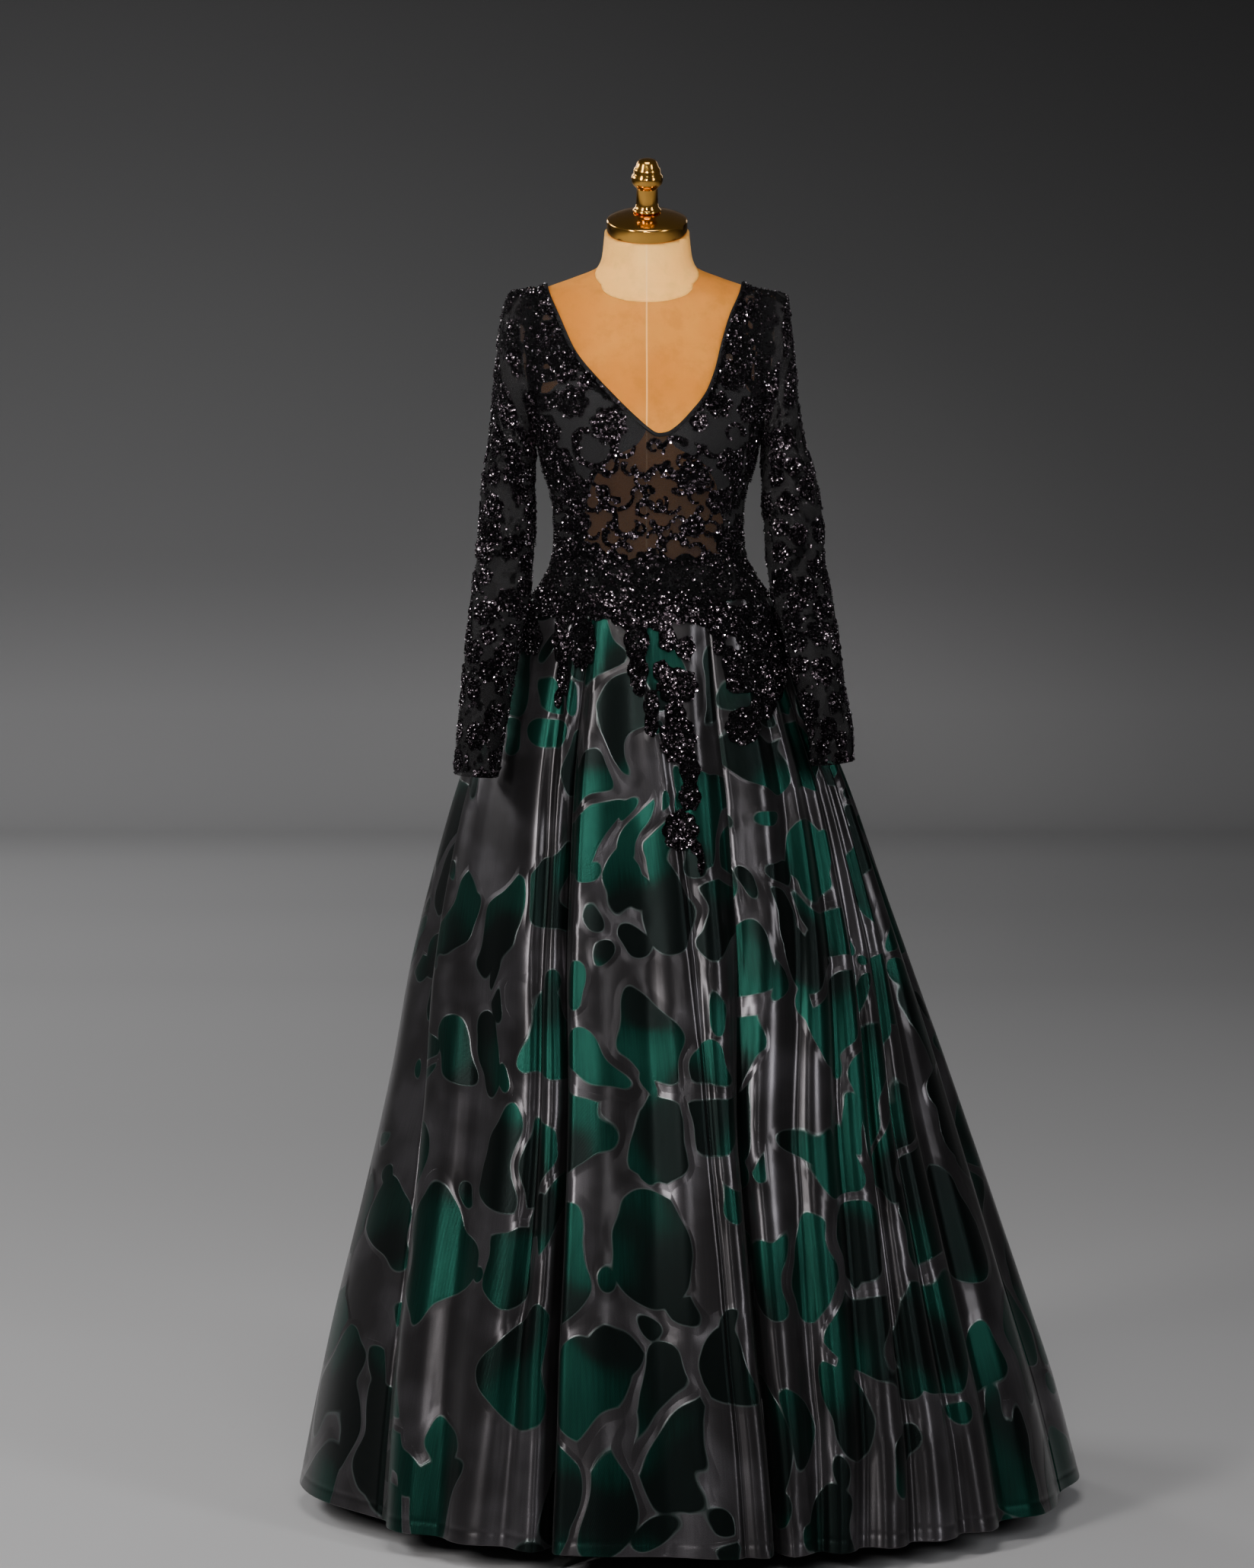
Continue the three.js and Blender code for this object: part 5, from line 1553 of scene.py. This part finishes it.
def bodice_spots(pitch, rng):
    """Where the bodice's beads are sewn, and the share of sequins at each spot."""
    outer, _, normal = body_layer(NET_OUT, NET_WALL, CLOTH_PITCH)
    outer = closed_grid(outer)
    normal = closed_grid(normal)
    scattered = scatter_rows(outer, normal, pitch, rng)
    cover = bodice_lace(scattered[:, :3])
    scattered = scattered[rng.random(len(scattered)) < cover * 0.75]
    rows = np.concatenate([flower_rows(FRONT_FLOWERS), scroll_rows(FRONT_SCROLLS)])
    front = laid_on(outer, normal, rows, True)
    back = laid_on(outer, normal, flower_rows(BACK_FLOWERS), False)
    spots = np.concatenate([scattered, front, back])
    room = bodice_room(spots[:, :3])
    neck = neck_room(spots[:, :3])
    spots = spots[(room > 1.5) & (neck > 2.2)]
    on_binding = neck_room(spots[:, :3]) < BINDING_WIDTH + 1
    spots[:, :3] += spots[:, 3:6] * (on_binding * (BINDING_OUT - NET_OUT))[:, None]
    return spots, shine_at(spots)


def sleeve_spots(side, pitch, rng):
    """Where a sleeve's beads are sewn, and the share of sequins at each spot."""
    grid, normal, where, angles = sleeve_parts(side)
    lace = closed_grid(sleeve_lace(where, angles, side)[..., None])[..., 0]
    grid = closed_grid(grid)
    normal = closed_grid(normal)
    spots = scatter_rows(grid, normal, pitch, rng)
    cover = grid_value(lace, spots[:, 6], spots[:, 7])
    spots = spots[rng.random(len(spots)) < cover * 0.62 + 0.02]
    flowers = flower_rows(sleeve_flowers(side))
    turn = np.mod(flowers[:, 0], 2 * math.pi * SLEEVE_ROUND) / SLEEVE_ROUND
    steps = len(angles)
    columns = np.interp(turn, np.append(np.sort(angles), 2 * math.pi), np.arange(steps + 1))
    if side < 0:
        columns = np.mod(steps - 1 - columns, steps)
    row = np.interp(flowers[:, 1], where[::-1], np.arange(len(where))[::-1])
    facing = unit(grid_value(normal, row, columns))
    points = grid_value(grid, row, columns)
    sewn = np.concatenate([points, facing, row[:, None], columns[:, None]], axis=1)
    sewn = sewn[(flowers[:, 1] > where.min() + 3) & (flowers[:, 1] < where.max() - 2)]
    spots = np.concatenate([spots, sewn])
    return spots, 0.05 + 0.2 * patches(spots[:, 0], spots[:, 2], 30, 0.3, 61)


def hip_spots(pitch, rng):
    """Where the hip lace's beads are sewn, and the share of sequins at each spot."""
    grid, normal = lace_surface(LACE_PITCH)
    laid = grid + normal * LACE_OUT
    spots = scatter_rows(laid, normal, pitch, rng)
    spots = spots[rng.random(len(spots)) < 0.62]
    front = laid_on(laid, normal, lobe_rows(HIP_FRONT_FLOWERS), True)
    back = laid_on(laid, normal, lobe_rows(HIP_BACK_FLOWERS), False)
    spots = np.concatenate([spots, front, back])
    spots = spots[lace_room(spots[:, :3]) > 0.4]
    return spots, shine_at(spots)


def build_beads(settings):
    """Beads and sequins sewn over the lace of the bodice, the sleeves and the hip."""
    pitch = settings.bead_pitch / MM
    rng = np.random.default_rng(7)
    areas = {"bodice": bodice_spots(pitch, rng)}
    for name, side in SIDES:
        areas["arm_" + name] = sleeve_spots(side, pitch, rng)
    areas["hip"] = hip_spots(pitch, rng)
    black = bead_material()
    shiny = sequin_material(settings.sequins)
    bead = (BEAD_POINTS, BEAD_FACES)
    for name, (spots, share) in areas.items():
        is_sequin = rng.random(len(spots)) < share
        beads = spots[~is_sequin]
        sizes = rng.uniform(0.95, 1.5, len(beads))
        add_many("beads_" + name, beads, bead, sizes, 0.8, 0.35, black, rng)
        discs = spots[is_sequin]
        sizes = rng.uniform(1.7, 2.4, len(discs))
        add_many("sequins_" + name, discs, sequin_shape(), sizes, 1.7, 0.26, shiny, rng)


def sweep_material(name, shade_tones):
    """Studio paper whose colour mostly darkens away from the gown: painted shade in place of the lights'
    fall-off.
    """
    g = Graph(name)
    place = g.add("ShaderNodeTexCoord", output=3)
    parts = g.add("ShaderNodeSeparateXYZ", {0: place}).node
    away = g.math("ADD", g.math("MAXIMUM", parts.outputs[1], 0.0), parts.outputs[2])
    # Painted shade: the paper's colour follows this distance from the gown
    ramp = g.add("ShaderNodeValToRGB", {0: g.math("DIVIDE", away, PAPER_REACH)})
    stops = ramp.node.color_ramp.elements
    for k, (at, tone) in enumerate(shade_tones):
        stop = stops[k] if k < 2 else stops.new(at / PAPER_REACH)
        stop.position = at / PAPER_REACH
        stop.color = (tone, tone * 0.992, tone * 1.004, 1.0)
    g.set(Base_Color=ramp, Roughness=0.9, Specular_IOR_Level=0.1)
    g.bump(g.noise(place, 60.0, 3.0), 0.02, 0.001)
    return g.material


def build_stage(settings):
    """The floor that turns up into the backdrop, the lights and the camera."""
    rise = np.linspace(0, math.pi / 2, 16)[1:]
    depth = [(-SWEEP_HALF, 0), (SWEEP_START, 0)]
    depth += [(SWEEP_START + SWEEP_ROUND * math.sin(a), SWEEP_ROUND * (1 - math.cos(a))) for a in rise]
    depth += [(SWEEP_START + SWEEP_ROUND, WALL_TOP_Z)]
    points = [(x, y, z) for y, z in depth for x in (-SWEEP_HALF, SWEEP_HALF)]
    polygons = [[2 * k, 2 * k + 1, 2 * k + 3, 2 * k + 2] for k in range(len(depth) - 1)]
    paper = sweep_material("studio_paper", PAPER_SHADE_TONES)
    add_mesh("studio_floor", np.array(points, float) / MM, polygons, paper)

    for name, at, aim, size, power, spread, colour in LIGHTS:
        data = bpy.data.lights.new(name, "AREA")
        data.shape = "RECTANGLE"
        data.size, data.size_y = size
        data.energy = power * settings.light
        data.color = colour
        data.spread = math.radians(spread)
        light = bpy.data.objects.new(name, data)
        light.location = at
        light.rotation_euler = (Vector(aim) - Vector(at)).to_track_quat("-Z", "Y").to_euler()
        light.visible_camera = False
        bpy.context.scene.collection.objects.link(light)

    world = bpy.data.worlds.new("studio")
    world.use_nodes = True
    world.node_tree.nodes["Background"].inputs[0].default_value = (0.5, 0.5, 0.52, 1.0)
    world.node_tree.nodes["Background"].inputs[1].default_value = 0.1
    bpy.context.scene.world = world

    data = bpy.data.cameras.new("camera")
    data.lens = CAMERA_LENS
    data.sensor_width = 36.0
    camera = bpy.data.objects.new("camera", data)
    camera.location = CAMERA_AT
    camera.rotation_euler = (math.pi / 2 - math.atan2(CAMERA_DROP, -CAMERA_AT[1]), 0.0, 0.0)
    bpy.context.scene.collection.objects.link(camera)
    bpy.context.scene.camera = camera


def colour(name, description, default):
    """A colour that the user may change."""
    return bpy.props.FloatVectorProperty(
        name=name, description=description, default=default, size=3, min=0.0, max=1.0,
        subtype="COLOR")


class GownSettings(bpy.types.PropertyGroup):
    """Sizes and colours of the gown that the operators read."""

    bead_pitch: bpy.props.FloatProperty(
        name="Bead pitch", description="Distance between neighbouring beads",
        default=0.0027, min=0.0015, max=0.01, unit="LENGTH", subtype="DISTANCE")
    net_cover: bpy.props.FloatProperty(
        name="Net cover", description="How much the bare net hides of what lies under it",
        default=0.4, min=0.0, max=0.6, subtype="FACTOR")
    light: bpy.props.FloatProperty(
        name="Light", description="How much stronger the studio lights are than usual",
        default=1.0, min=0.1, max=4.0, subtype="FACTOR")
    # The green thread is the pebbles' lit colour. The skirt's material paints shade on it with darker
    # copies.
    skirt_green: colour("Green thread", "Metallic thread of the pebble shapes", (0.009, 0.076, 0.055))
    # Pale satin colour of the ground's painted sheen patches
    skirt_satin_sheen: colour("Satin", "Pale places of the skirt's satin ground", (0.15, 0.14, 0.152))
    net: colour("Net", "Threads of the bodice's and the sleeves' net", (0.023, 0.022, 0.023))
    lining: colour("Lining", "Pale places of the lining", (0.05, 0.055, 0.062))
    binding: colour("Binding", "Satin binding of the neckline", (0.002, 0.002, 0.003))
    sequins: colour("Sequins", "Bright sequins", (0.62, 0.5, 0.57))
    velvet: colour("Velvet", "Velvet of the torso", (0.57, 0.196, 0.023))
    neck_velvet: colour("Neck velvet", "Velvet of the neck", (1.0, 0.49, 0.11))
    gold: colour("Gold", "Cap and finial", (0.85, 0.45, 0.09))


class GOWN_OT_form(bpy.types.Operator):
    """Builds the padded form, its cap and finial, and the stand's finish"""

    bl_idname = "gown.form"
    bl_label = "Dress form"

    def execute(self, context):
        build_form(context.scene.gown_settings)
        return {"FINISHED"}


class GOWN_OT_lining(bpy.types.Operator):
    """Builds the lining of cups and sides"""

    bl_idname = "gown.lining"
    bl_label = "Lining"

    def execute(self, context):
        build_lining(context.scene.gown_settings)
        return {"FINISHED"}


class GOWN_OT_bodice(bpy.types.Operator):
    """Builds the net bodice"""

    bl_idname = "gown.bodice"
    bl_label = "Bodice"

    def execute(self, context):
        build_bodice(context.scene.gown_settings)
        return {"FINISHED"}


class GOWN_OT_binding(bpy.types.Operator):
    """Builds the neckline's satin binding"""

    bl_idname = "gown.binding"
    bl_label = "Binding"

    def execute(self, context):
        build_binding(context.scene.gown_settings)
        return {"FINISHED"}


class GOWN_OT_sleeves(bpy.types.Operator):
    """Builds the two net sleeves"""

    bl_idname = "gown.sleeves"
    bl_label = "Sleeves"

    def execute(self, context):
        build_sleeves(context.scene.gown_settings)
        return {"FINISHED"}


class GOWN_OT_skirt(bpy.types.Operator):
    """Builds the skirt's seven panels"""

    bl_idname = "gown.skirt"
    bl_label = "Skirt"

    def execute(self, context):
        build_skirt(context.scene.gown_settings)
        return {"FINISHED"}


class GOWN_OT_hip_lace(bpy.types.Operator):
    """Builds the lace over the hip"""

    bl_idname = "gown.hip_lace"
    bl_label = "Hip lace"

    def execute(self, context):
        build_hip_lace(context.scene.gown_settings)
        return {"FINISHED"}


class GOWN_OT_beads(bpy.types.Operator):
    """Sews beads and sequins on the lace"""

    bl_idname = "gown.beads"
    bl_label = "Beads"

    def execute(self, context):
        build_beads(context.scene.gown_settings)
        return {"FINISHED"}


class GOWN_OT_stage(bpy.types.Operator):
    """Sets up the floor, the lights and the camera"""

    bl_idname = "gown.stage"
    bl_label = "Stage"

    def execute(self, context):
        build_stage(context.scene.gown_settings)
        return {"FINISHED"}


OPERATORS = [
    GOWN_OT_form, GOWN_OT_lining, GOWN_OT_bodice, GOWN_OT_binding, GOWN_OT_sleeves,
    GOWN_OT_skirt, GOWN_OT_hip_lace, GOWN_OT_beads, GOWN_OT_stage,
]


class GOWN_PT_panel(bpy.types.Panel):
    """Lists the settings, and the building steps in order."""

    bl_label = "Evening gown"
    bl_idname = "GOWN_PT_panel"
    bl_space_type = "VIEW_3D"
    bl_region_type = "UI"
    bl_category = "Gown"

    def draw(self, context):
        settings = context.scene.gown_settings
        for name in GownSettings.__annotations__:
            self.layout.prop(settings, name)
        for operator in OPERATORS:
            self.layout.operator(operator.bl_idname)


CLASSES = [GownSettings, *OPERATORS, GOWN_PT_panel]


def register():
    for cls in CLASSES:
        bpy.utils.register_class(cls)
    bpy.types.Scene.gown_settings = bpy.props.PointerProperty(type=GownSettings)


def unregister():
    del bpy.types.Scene.gown_settings
    for cls in reversed(CLASSES):
        bpy.utils.unregister_class(cls)


def main():
    register()
    bpy.ops.gown.form()
    bpy.ops.gown.lining()
    bpy.ops.gown.bodice()
    bpy.ops.gown.binding()
    bpy.ops.gown.sleeves()
    bpy.ops.gown.skirt()
    bpy.ops.gown.hip_lace()
    bpy.ops.gown.beads()
    bpy.ops.gown.stage()


if __name__ == "__main__":
    main()
